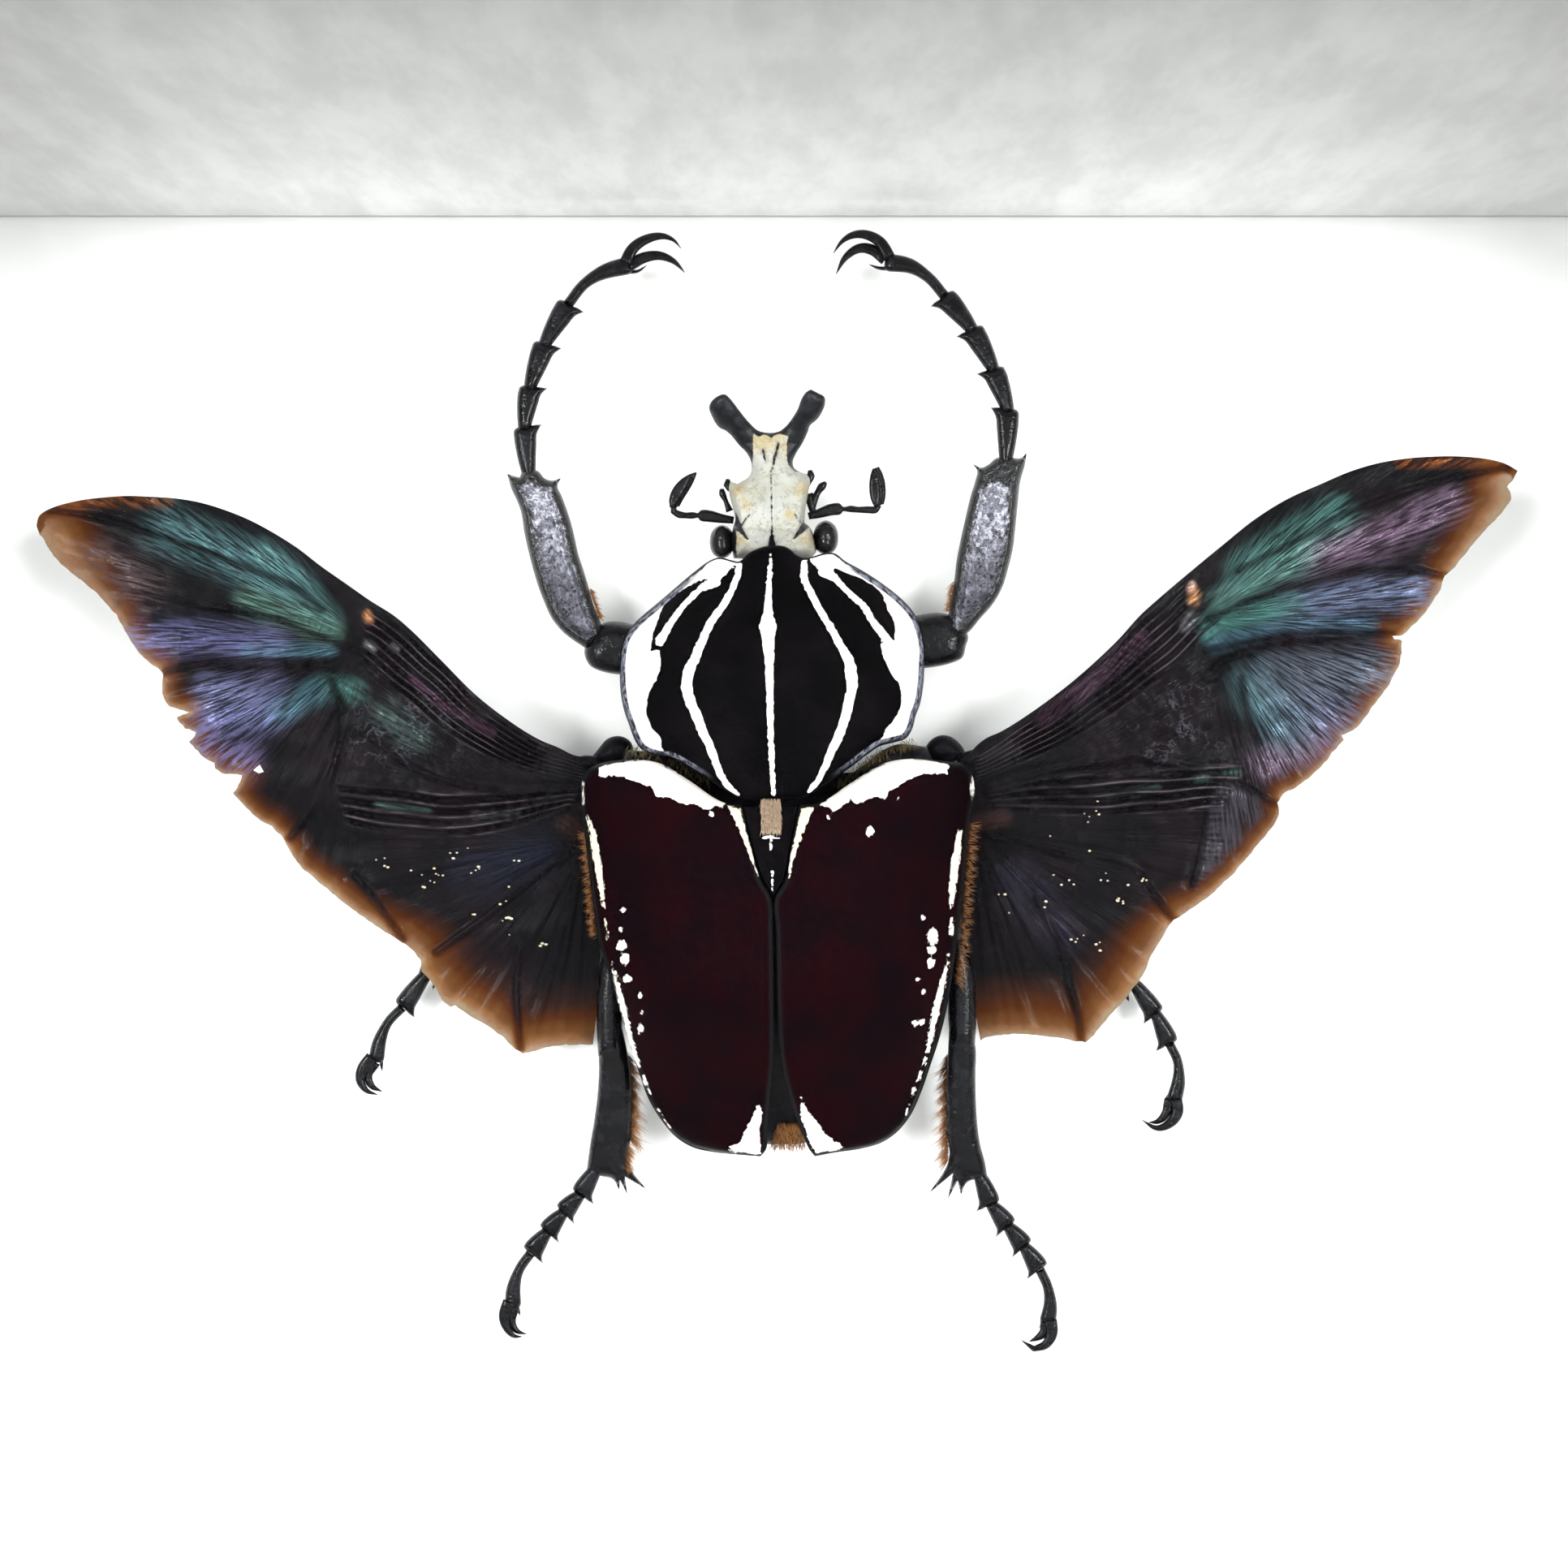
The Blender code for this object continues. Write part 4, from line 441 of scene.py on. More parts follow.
# White markings: closed patches, strokes of (u, v, width), and dots of (u, v, radius, radius)
PRONOTUM_STROKES = [
    [(-1.6, 28.4, 0.2), (-1.7, 27.0, 0.5), (-1.9, 23.6, 0.7), (-1.95, 21.4, 1.0),
     (-2.0, 19.4, 2.1), (-1.9, 17.6, 1.5), (-1.8, 14.0, 0.95), (-1.7, 8.0, 0.75),
     (-1.5, 3.0, 0.6), (-1.3, -1.2, 0.5)],
    [(-5.5, 27.0, 0.7), (-5.7, 25.8, 0.8), (-6.2, 24.3, 0.8), (-7.5, 22.0, 0.8),
     (-9.0, 20.0, 0.9), (-10.0, 17.8, 1.0), (-11.0, 15.5, 1.1), (-11.8, 13.8, 1.3),
     (-12.0, 11.8, 1.3), (-11.5, 10.0, 1.2), (-10.7, 8.3, 1.2), (-10.2, 6.8, 1.1),
     (-9.3, 5.0, 1.0), (-8.5, 3.0, 0.9), (-7.9, 1.2, 0.8), (-6.8, -0.4, 0.7),
     (-5.7, -1.3, 0.5)],
    [(2.5, 27.2, 0.8), (2.4, 25.5, 0.8), (3.2, 23.7, 0.8), (4.5, 21.3, 0.8),
     (5.8, 19.2, 0.9), (7.0, 17.0, 1.0), (8.0, 15.3, 1.2), (8.3, 13.5, 1.4),
     (8.4, 12.0, 1.3), (8.0, 10.0, 1.2), (7.5, 8.0, 1.1), (6.8, 6.0, 1.1), (5.8, 4.0, 1.0),
     (5.0, 2.0, 0.8), (4.2, 0.4, 0.7), (3.1, -0.9, 0.5)],
    [(-8.5, 25.0, 1.4), (-10.5, 23.9, 0.7), (-12.4, 22.0, 0.7), (-14.0, 19.8, 0.8),
     (-15.3, 17.6, 1.2)],
    [(5.0, 26.3, 1.6), (6.5, 25.2, 0.7), (8.0, 23.5, 0.7), (9.8, 22.0, 0.8),
     (11.0, 20.0, 0.8), (12.3, 18.3, 1.0), (13.2, 17.2, 1.2)],
]
PRONOTUM_SIDES = {
    "left": [(-5.9, 28.6), (-5.6, 27.2), (-6.6, 26.6), (-7.6, 25.4), (-8.6, 25.0),
             (-9.5, 25.4), (-11.2, 24.7), (-13.0, 23.6), (-14.7, 22.3), (-15.4, 20.5),
             (-16.2, 18.5), (-16.5, 16.3), (-15.3, 16.6), (-15.3, 14.5), (-15.7, 13.0),
             (-16.3, 12.0), (-16.8, 10.5), (-17.0, 9.0), (-16.7, 7.8), (-16.0, 6.5),
             (-15.2, 5.7), (-15.0, 4.3), (-14.0, 3.4), (-15.5, 3.6), (-17.4, 4.4),
             (-18.4, 6.2), (-19.4, 9.0), (-19.9, 12.0), (-20.0, 15.0), (-19.6, 17.4),
             (-18.4, 19.2), (-15.8, 21.7), (-12.6, 24.5), (-9.3, 27.2), (-8.0, 28.6)],
    "right": [(3.0, 28.6), (3.2, 27.6), (4.2, 26.6), (5.2, 26.0), (6.4, 26.6),
              (8.0, 25.9), (10.0, 25.1), (11.9, 23.6), (12.8, 21.5), (13.6, 19.8),
              (13.6, 17.1), (11.9, 17.5), (12.1, 16.2), (13.3, 13.5), (14.2, 12.3),
              (14.5, 10.5), (14.2, 9.0), (13.5, 7.8), (12.7, 6.9), (11.6, 4.8),
              (13.4, 5.3), (14.8, 5.9), (15.8, 8.2), (16.7, 11.5), (17.0, 15.5),
              (16.7, 18.1), (15.6, 20.8), (12.4, 23.8), (9.2, 26.0), (6.2, 28.2),
              (5.4, 28.8)],
}
ELYTRA_PATCHES = [
    [(-22.9, 2.0), (-20.0, 2.7), (-16.0, 2.9), (-14.5, 2.1), (-12.0, 0.8), (-9.0, -0.9),
     (-7.2, -2.2), (-7.5, -2.9), (-8.5, -2.7), (-9.5, -3.2), (-11.0, -2.5), (-12.5, -2.4),
     (-14.0, -1.7), (-15.8, -1.7), (-16.2, -0.4), (-17.5, 0.0), (-18.9, 0.5), (-20.0, 1.0),
     (-22.7, 0.9)],
    [(20.4, 2.4), (17.0, 3.0), (13.5, 3.0), (12.3, 2.5), (8.0, 0.0), (4.5, -2.5),
     (5.6, -2.9), (6.0, -3.5), (6.8, -3.0), (8.3, -1.8), (9.0, -2.5), (11.3, -1.5),
     (12.6, -2.0), (12.8, -1.0), (14.5, 0.0), (16.0, 0.9), (17.5, 1.2), (20.0, 1.3)],
    [(-3.3, -39.3), (-2.6, -40.3), (-3.0, -42.5), (-2.8, -45.7), (-7.0, -45.2),
     (-6.8, -44.9), (-5.2, -44.0), (-4.9, -43.0), (-4.4, -42.0), (-3.9, -41.2)],
    [(2.1, -38.5), (2.8, -40.0), (3.5, -41.0), (4.4, -42.0), (5.2, -43.3), (6.3, -44.0),
     (7.5, -44.9), (4.0, -45.5), (3.1, -44.0), (2.6, -42.5), (2.1, -41.0)],
    [(-7.0, -2.6), (-5.8, -5.0), (-4.6, -8.0), (-3.2, -11.4), (-3.4, -10.5), (-4.5, -6.5),
     (-5.4, -3.0)],
    [(3.7, -2.8), (2.5, -5.8), (1.3, -9.0), (0.6, -11.6), (0.6, -10.0), (1.5, -6.0),
     (2.1, -3.0)],
]
ELYTRA_STROKES = [
    [(-24.8, 0.3, 0.18), (-24.7, -2.5, 0.18)],
    [(-24.2, -4.0, 0.3), (-23.5, -6.5, 0.8), (-23.1, -9.0, 0.9), (-22.6, -12.0, 0.7),
     (-22.2, -15.4, 0.3)],
    [(-22.0, -16.8, 0.35), (-21.9, -17.6, 0.3)], [(-21.8, -18.3, 0.3), (-21.7, -19.2, 0.2)],
    [(-21.2, -22.0, 0.25), (-20.7, -24.0, 0.55), (-20.0, -27.0, 0.7), (-19.4, -29.2, 0.7),
     (-18.9, -31.5, 0.6), (-18.3, -33.5, 0.5), (-17.8, -34.9, 0.25)],
    [(-17.3, -36.0, 0.4), (-17.0, -37.0, 0.35)], [(-16.8, -37.4, 0.25), (-16.4, -38.2, 0.2)],
    [(-15.6, -40.0, 0.12), (-14.0, -42.4, 0.12)],
    [(21.7, -5.8, 0.5), (21.3, -8.4, 0.95), (20.9, -11.2, 0.95), (20.7, -13.6, 0.7),
     (20.6, -15.4, 0.2)],
    [(20.7, -16.6, 0.35), (20.6, -18.4, 0.6)], [(20.4, -20.4, 0.3), (20.2, -21.2, 0.25)],
    [(20.2, -22.0, 0.4), (19.4, -25.0, 0.75), (18.7, -28.0, 0.75), (18.2, -30.5, 0.7),
     (17.7, -33.0, 0.5), (17.2, -34.6, 0.3)],
    [(16.9, -35.4, 0.5), (16.5, -36.6, 0.4)], [(16.1, -37.4, 0.4), (15.8, -38.4, 0.3)],
    [(15.4, -39.4, 0.35), (15.0, -40.8, 0.2)],
]
ELYTRA_DOTS = [
    (-9.0, -3.7, 0.3, 0.3), (-19.8, -15.5, 0.35, 0.35), (-20.0, -17.9, 0.35, 0.3),
    (-20.0, -19.9, 0.65, 0.65), (-19.6, -21.6, 0.5, 0.75), (-19.3, -24.0, 0.55, 0.5),
    (-17.7, -26.0, 0.3, 0.35), (-17.5, -28.2, 0.25, 0.25), (-17.7, -30.1, 0.3, 0.6),
    (5.4, -4.1, 0.25, 0.25), (10.6, -5.8, 0.45, 0.65), (14.1, -1.9, 0.15, 0.2),
    (17.1, -16.5, 0.35, 0.35), (18.3, -18.8, 0.65, 1.05), (18.2, -20.5, 0.55, 0.5),
    (18.1, -22.0, 0.5, 0.6), (16.5, -24.1, 0.2, 0.2), (17.2, -25.6, 0.3, 0.35),
    (16.9, -29.3, 0.45, 0.4), (16.1, -29.5, 0.35, 0.35), (23.2, -0.3, 0.2, 1.1),
]
HEAD_CREAM = [
    (-3.7, 43.2), (-3.2, 42.8), (-2.3, 43.0), (-1.6, 42.6), (-0.7, 43.1), (0.5, 42.9),
    (0.3, 41.5), (0.45, 39.6), (1.2, 38.6), (2.6, 38.3), (3.2, 37.4), (2.9, 35.0),
    (2.7, 33.0), (3.2, 31.6), (3.5, 30.4), (3.8, 28.2), (3.2, 27.0), (-5.6, 27.0),
    (-6.0, 30.4), (-6.0, 32.5), (-6.4, 34.5), (-7.0, 37.4), (-5.6, 37.1), (-4.2, 38.3),
    (-3.9, 39.3), (-3.8, 41.3),
]
SCUTELLUM_STROKES = [[(-2.6, -6.7, 0.25), (-1.7, -6.5, 0.3), (-0.6, -6.7, 0.2)],
                     [(-1.6, -6.6, 0.3), (-1.6, -8.2, 0.2)],
                     [(-1.45, -10.8, 0.28), (-1.45, -13.2, 0.18)]]
HEAD_LINES = [
    [(-1.6, 38.6, 0.10), (-1.5, 32.0, 0.14), (-1.5, 30.8, 0.35), (-1.5, 29.2, 1.1)],
    [(-2.6, 41.2, 0.3), (-2.3, 39.8, 0.12)],
    [(-0.7, 41.9, 0.3), (-1.1, 40.2, 0.35), (-1.5, 38.6, 0.08)],
    [(-6.4, 33.0, 1.3), (-5.6, 31.6, 0.9), (-4.5, 30.2, 0.2)],
    [(-5.5, 31.4, 0.3), (-4.9, 32.4, 0.16), (-4.2, 33.2, 0.05)],
    [(3.4, 33.0, 1.3), (2.4, 31.6, 0.9), (1.2, 30.2, 0.2)],
    [(2.5, 31.6, 0.3), (1.9, 32.5, 0.16), (1.3, 33.3, 0.05)],
    [(-6.5, 31.9, 1.1), (-6.4, 30.2, 1.1), (-6.3, 28.9, 0.8), (-6.3, 28.2, 0.4)],
    [(3.8, 32.2, 1.0), (3.95, 30.8, 0.9), (4.1, 29.4, 0.7), (4.1, 28.7, 0.4)],
    [(-5.6, 37.3, 0.3), (-4.9, 37.9, 0.3), (-4.4, 38.9, 0.15)],
    [(2.9, 38.4, 0.4), (2.1, 38.5, 0.3), (1.5, 39.4, 0.15)],
]
HEAD_WARM = [(-5.4, 36.2, 1.2), (-5.8, 30.2, 1.2), (3.0, 30.4, 1.3), (2.2, 36.2, 1.0),
             (-4.6, 34.4, 0.8), (-3.2, 41.8, 1.0), (-0.2, 42.0, 1.0), (0.6, 33.2, 0.7)]
# Lines that hairs grow from, with the side they point to and their length or lean
CASE_FRINGES = [[(-24.4, -6.0), (-23.9, -12.0), (-23.3, -18.5)],
                [(23.0, -4.8), (22.6, -10.0), (22.1, -16.0), (21.4, -24.5)]]
HIND_SHIN_FRINGES = [([(-19.1, -33.4), (-18.8, -38.0), (-18.8, -44.0)], 1.0, 3.1),
                     ([(-19.1, -44.2), (-19.4, -47.4)], 1.0, 2.0),
                     ([(20.2, -33.4), (20.0, -38.0), (20.1, -46.4)], -1.0, 2.9)]
FORE_SHIN_FRINGES = [([(-23.9, 24.0), (-23.3, 22.0), (-22.8, 20.6)], 1.0),
                     ([(20.4, 21.6), (20.9, 24.8)], -1.0)]
PRONOTUM_DOWN = [
    ([(-18.6, 4.6), (-14.4, 3.2), (-11.0, 1.4), (-8.0, -0.6), (-5.5, -2.0)], -0.2),
    ([(5.2, -1.0), (8.0, 1.2), (10.6, 3.2), (13.6, 4.6), (15.6, 5.4)], 0.2),
]
# Height of the head's upper and lower face along v, and the palps beside its mouth
HEAD_TOP = [(27.8, 12.4), (29.4, 13.4), (31.6, 14.8), (34.0, 14.7), (36.0, 13.9), (38.0, 12.9),
            (40.0, 12.3), (42.0, 12.2), (43.5, 12.8), (46.0, 14.8), (48.7, 16.4)]
HEAD_UNDER = [(27.8, 6.6), (31.0, 5.2), (36.0, 6.6), (39.0, 8.6), (42.0, 9.8), (44.0, 10.4),
              (46.0, 12.4), (48.7, 13.8)]
MOUTH = [
    [(-6.9, 37.6, 0.5), (-7.0, 36.9, 1.0), (-6.6, 36.2, 0.7)],
    [(-7.7, 36.4, 0.5), (-7.6, 35.8, 0.85), (-7.2, 34.9, 0.6), (-6.7, 33.6, 0.9)],
    [(3.2, 38.7, 0.5), (3.3, 38.0, 1.0), (3.0, 37.2, 0.8), (2.7, 36.4, 0.6)],
    [(5.2, 37.2, 0.4), (4.7, 36.7, 1.0), (4.2, 36.0, 0.8), (3.4, 34.2, 1.1)],
    [(3.0, 35.8, 1.2), (3.3, 34.6, 1.0), (3.6, 33.4, 0.8)],
]
EYES = [(-7.65, 29.85, 1.50, 2.05), (5.15, 30.35, 1.55, 2.10)]


def ease(x, low, high):
    t = np.clip((x - low) / (high - low), 0.0, 1.0)
    return t * t * (3 - 2 * t)


def seen(places):
    """World places of sheet points: the nearer to the eye, the closer to the line of sight."""
    u, v, h = np.asarray(places, float).T
    scale = MM * (1.0 - h * MM / EYE_DISTANCE)
    return np.column_stack((u * scale, BOARD_FRONT - h * MM, EYE_HEIGHT + v * scale))


def unit(vector):
    return vector / max(np.hypot(*vector), 1e-9)


def curve(points, step, closed=False, corner=52.0):
    """Points about step apart on a smooth line through the given ones; sharp turns stay."""
    points = np.array(points, float)[:, :2]
    count = len(points)
    limit = math.cos(math.radians(corner))
    out = []
    for i in range(count if closed else count - 1):
        a, b = points[i], points[(i + 1) % count]
        before = points[i - 1] if closed or i > 0 else 2 * a - b
        after = points[(i + 2) % count] if closed or i + 2 < count else 2 * b - a
        along, length = unit(b - a), np.hypot(*(b - a))
        start, end = unit(a - before), unit(after - b)
        start = along if start @ along < limit else unit(start + along)
        end = along if end @ along < limit else unit(end + along)
        steps = max(1, int(round(length / step)))
        for k in range(steps):
            t = k / steps
            out.append((2 * t ** 3 - 3 * t ** 2 + 1) * a + (3 * t ** 2 - 2 * t ** 3) * b
                       + length * ((t ** 3 - 2 * t ** 2 + t) * start
                                   + (t ** 3 - t ** 2) * end))
    if not closed:
        out.append(points[-1])
    return np.array(out)


def gap_to(places, line, widths=None):
    """Distance from each place to a line, less half its width there where it has one."""
    best = np.full(len(places), 1e9)
    line = np.asarray(line, float)
    for i in range(len(line) - 1):
        span = line[i + 1, :2] - line[i, :2]
        t = np.clip((places - line[i, :2]) @ span / max(span @ span, 1e-9), 0.0, 1.0)
        away = np.hypot(*(places - line[i, :2] - t[:, None] * span).T)
        if widths is not None:
            away -= (widths[i] * (1 - t) + widths[i + 1] * t) / 2
        best = np.minimum(best, away)
    return best


def inside(places, outline):
    u, v = places.T
    odd = np.zeros(len(places), bool)
    for (u0, v0), (u1, v1) in zip(outline, np.roll(outline, -1, axis=0)):
        if v0 != v1:
            odd ^= ((v0 > v) != (v1 > v)) & (u < u0 + (v - v0) * (u1 - u0) / (v1 - v0))
    return odd


def depth(places, outline):
    """How far inside a closed outline each place is, less than zero outside."""
    outline = np.asarray(outline, float)
    away = gap_to(places, np.vstack((outline, outline[:1])))
    return np.where(inside(places, outline), away, -away)


def lumps(places, size, seed=0.0):
    """Smooth noise from -1 to 1, with lumps about size millimetres across."""
    return np.array([noise.noise(Vector((p[0] / size, p[1] / size, seed))) for p in places])


def marks(places, patches=(), strokes=(), dots=()):
    """How far inside the nearest marking each place is, less than zero outside."""
    best = np.full(len(places), -1e9)
    for patch in patches:
        best = np.maximum(best, depth(places, curve(patch, 0.5, closed=True, corner=35)))
    for stroke in strokes:
        line = np.array(stroke)
        best = np.maximum(best, -gap_to(places, line, line[:, 2]))
    for u, v, ru, rv in dots:
        away = np.hypot((places[:, 0] - u) / ru, (places[:, 1] - v) / rv)
        best = np.maximum(best, (1.0 - away) * min(ru, rv))
    return best


def strip(path, widths):
    """Outline of a limb that follows a path with the given widths."""
    path = np.array(path, float)[:, :2]
    ahead = np.gradient(path, axis=0)
    across = np.column_stack((-ahead[:, 1], ahead[:, 0]))
    across /= np.hypot(*across.T)[:, None]
    half = np.asarray(widths)[:, None] / 2
    return np.vstack((path + across * half, (path - across * half)[::-1]))


def sheet(outline, spacing, rim=(), holes=()):
    """Places and triangles that fill an outline: on it, on rings inside it and in a grid."""
    outline = np.asarray(outline, float)
    area = np.sum(outline[:, 0] * np.roll(outline[:, 1], -1)
                  - outline[:, 1] * np.roll(outline[:, 0], -1))
    if area < 0:
        outline = outline[::-1]
    ahead = np.roll(outline, -1, axis=0) - np.roll(outline, 1, axis=0)
    inward = np.column_stack((-ahead[:, 1], ahead[:, 0]))
    inward /= np.maximum(np.hypot(*inward.T), 1e-9)[:, None]
    fill = []
    for reach in rim:
        ring = outline + inward * reach
        fill.append(ring[depth(ring, outline) > 0.94 * reach])
    low, high = outline.min(axis=0), outline.max(axis=0)
    rows = np.arange(low[1], high[1], spacing * 0.87)
    grid = np.array([(u + spacing * (i % 2) / 2, v) for i, v in enumerate(rows)
                     for u in np.arange(low[0], high[0], spacing)])
    clear = depth(grid, outline) > (rim[-1] if rim else 0.0) + 0.55 * spacing
    for hole in holes:
        clear &= depth(grid, hole) < -0.5 * spacing
    fill.append(grid[clear])
    loops = [outline] + [np.asarray(hole, float) for hole in holes]
    places = np.vstack(loops + fill)
    edges, start = [], 0
    for loop in loops:
        edges += [(start + i, start + (i + 1) % len(loop)) for i in range(len(loop))]
        start += len(loop)
    found = delaunay_2d_cdt([Vector(p) for p in places], edges, [], 0, 1e-5)
    places = np.array([(p.x, p.y) for p in found[0]])
    faces = np.array([tuple(face) for face in found[2]])
    middles = places[faces].mean(axis=1)
    keep = inside(middles, outline)
    for hole in holes:
        keep &= ~inside(middles, np.asarray(hole, float))
    faces = faces[keep]
    used, faces = np.unique(faces, return_inverse=True)
    return places[used], faces.reshape(-1, 3), depth(places[used], outline)


def close(places, faces, front, back):
    """Points and faces of the closed solid between two height fields over a sheet."""
    count = len(places)
    points = np.vstack((np.column_stack((places, front)), np.column_stack((places, back))))
    skin = [tuple(face) for face in faces] + [tuple(face[::-1] + count) for face in faces]
    sides = {(a, b) for x, y, z in faces.tolist() for a, b in ((x, y), (y, z), (z, x))}
    skin += [(b, a, a + count, b + count) for a, b in sorted(sides) if (b, a) not in sides]
    return points, skin


def pillow(outline, spacing, middle_height, half, radius, hollow=0.0, step=None):
    """A solid over an outline, with a rounded rim; a hollow sinks its front between ridges."""
    edge = curve(outline, step or spacing * 0.8, closed=True)
    places, faces, inner = sheet(edge, spacing, rim=(0.12 * radius, 0.32 * radius))
    swell = np.sqrt(1.0 - (1.0 - np.clip(inner / radius, 0.0, 1.0)) ** 2)
    level = middle_height(places) if callable(middle_height) else middle_height
    thick = half(places) if callable(half) else half
    front = level + thick * swell - hollow * ease(inner, 0.35 * radius, 0.95 * radius)
    return close(places, faces, front + 0.01, level - thick * swell - 0.01)


def material(name):
    made = bpy.data.materials.new(name)
    made.use_nodes = True
    return made, made.node_tree.nodes["Principled BSDF"], made.node_tree


def put(tree, kind, inputs=None, **settings):
    """Adds a node; inputs are numbers, colours or sockets to link."""
    made = tree.nodes.new("ShaderNode" + kind)
    for key, value in settings.items():
        setattr(made, key, value)
    for key, value in (inputs or {}).items():
        wire(tree, made.inputs[key], value)
    return made


def wire(tree, socket, value):
    if isinstance(value, bpy.types.NodeSocket):
        tree.links.new(value, socket)
    elif isinstance(value, tuple) and len(value) == 3 and socket.type == "RGBA":
        socket.default_value = (*value, 1.0)
    else:
        socket.default_value = value


def attribute(tree, name, output="Fac"):
    return put(tree, "Attribute", attribute_name=name).outputs[output]


def math_node(tree, operation, a, b=0.0):
    return put(tree, "Math", {0: a, 1: b}, operation=operation).outputs[0]


def times(tree, a, b):
    return math_node(tree, "MULTIPLY", a, b)


def plus(tree, a, b):
    return math_node(tree, "ADD", a, b)


def grain(tree, size, detail=3.0, roughness=0.55, place=None, stretch=None):
    """Noise from 0 to 1 with lumps about size metres across."""
    place = place or put(tree, "TexCoord").outputs["Object"]
    if stretch:
        place = put(tree, "Mapping", {"Vector": place, "Scale": stretch}).outputs[0]
    return put(tree, "TexNoise", {"Vector": place, "Scale": 1.0 / size, "Detail": detail,
                                  "Roughness": roughness}).outputs["Fac"]


def span(tree, value, low, high, to_low=0.0, to_high=1.0, smooth=True):
    """Carries the range from low to high over to another one."""
    return put(tree, "MapRange", {"Value": value, 1: low, 2: high, 3: to_low, 4: to_high},
               interpolation_type="SMOOTHSTEP" if smooth else "LINEAR").outputs[0]


def mottle(tree, size, detail, roughness, low, high, to_low=0.0, to_high=1.0, smooth=True):
    """Noise with its range from low to high carried over to another one."""
    return span(tree, grain(tree, size, detail, roughness), low, high, to_low, to_high, smooth)


def creases(tree, cloud, width, most=1.0):
    """Thin lines where a noise crosses its middle level."""
    away = math_node(tree, "ABSOLUTE", math_node(tree, "SUBTRACT", cloud, 0.5))
    return span(tree, away, 0.0, width, most, 0.0)


def pits(tree, scale):
    place_of = put(tree, "TexCoord").outputs["Object"]
    return put(tree, "TexVoronoi", {"Vector": place_of, "Scale": scale}).outputs["Distance"]


def blend(tree, factor, a, b):
    node = put(tree, "Mix", data_type="RGBA")
    for socket, value in zip((node.inputs[0], node.inputs[6], node.inputs[7]),
                             (factor, a, b)):
        wire(tree, socket, value)
    return node.outputs[2]


def bump(tree, height, distance, strength=1.0, under=None):
    inputs = {"Height": height, "Distance": distance, "Strength": strength}
    if under:
        inputs["Normal"] = under
    return put(tree, "Bump", inputs).outputs[0]


def dress(tree, shader, color, rough, level=None, normal=None):
    """Gives a shader its colour, roughness, specular level and bumps."""
    wire(tree, shader.inputs["Base Color"], color)
    wire(tree, shader.inputs["Roughness"], rough)
    if level is not None:
        shader.inputs["Specular IOR Level"].default_value = level
    if normal is not None:
        wire(tree, shader.inputs["Normal"], normal)


def scales(tree, ragged):
    """1 on the white markings and 0 beside them, with an edge ragged by so many millimetres."""
    fray = mottle(tree, 0.0006, 4.0, 0.65, 0.25, 0.75, -ragged, ragged, smooth=False)
    return span(tree, plus(tree, attribute(tree, "mark"), fray), -0.05, 0.05)


def piece(name, parts, finish, slot, nodes=(), layers=None, smooth=60.0):
    """An object on the root body, from parts in sheet places, with values painted on it."""
    points = np.vstack([part[0] for part in parts])
    faces, start = [], 0
    for part_points, part_faces in parts:
        faces += [tuple(int(i) + start for i in face) for face in part_faces]
        start += len(part_points)
    mesh = bpy.data.meshes.new(name)
    mesh.from_pydata(seen(points).tolist(), [], faces)
    mesh.materials.append(finish)
    for key, values in (layers(points) if layers else {}).items():
        values = np.asarray(values, np.float32)
        kind = {1: "FLOAT", 3: "FLOAT_VECTOR", 4: "FLOAT_COLOR"}[
            1 if values.ndim == 1 else values.shape[1]]
        layer = mesh.attributes.new(key, kind, "POINT")
        field = {"FLOAT": "value", "FLOAT_VECTOR": "vector", "FLOAT_COLOR": "color"}[kind]
        layer.data.foreach_set(field, values.ravel())
    return place(name, mesh, slot, nodes, smooth)


def place(name, mesh, slot, nodes=(), smooth=60.0):
    made = bpy.data.objects.new(name, mesh)
    bpy.context.scene.collection.objects.link(made)
    mesh.shade_smooth()
    mesh.set_sharp_from_angle(angle=math.radians(smooth))
    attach(made, "root")
    if nodes:
        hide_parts(*nodes)
    return made


def middle(v):
    return MIDDLE_AT_SHOULDER + LEAN * v


def half_width(v):
    table = np.array(HALF_WIDTHS)[::-1]
    return np.interp(v, table[:, 0], table[:, 1])


def case_height(places):
    """Height of the closed wing cases above the board."""
    u, v = places[:, 0], places[:, 1]
    across = np.minimum(np.abs(u - middle(v)) / half_width(v), 1.0)
    dome = np.sqrt(1.0 - across ** 2.4)
    along = (1.0 - 0.22 * ease(v, -9.0, 3.0)) * (1.0 - 0.62 * ease(-v, 22.0, 46.5))
    return CASES_RIM - 4.0 * ease(-v, 26.0, 46.0) + (CASES_TOP - CASES_RIM) * dome * along


def wing_height(places):
    u, v = places[:, 0], places[:, 1]
    out = np.abs(u) - 22.0
    drop = 6.6 * np.clip((3.0 - v) / 35.0, 0.0, 1.0) ** 0.9
    waves = 0.35 * np.sin(0.55 * v - 0.12 * out) * ease(out, 2.0, 12.0)
    return 11.2 + 0.02 * out - drop + waves


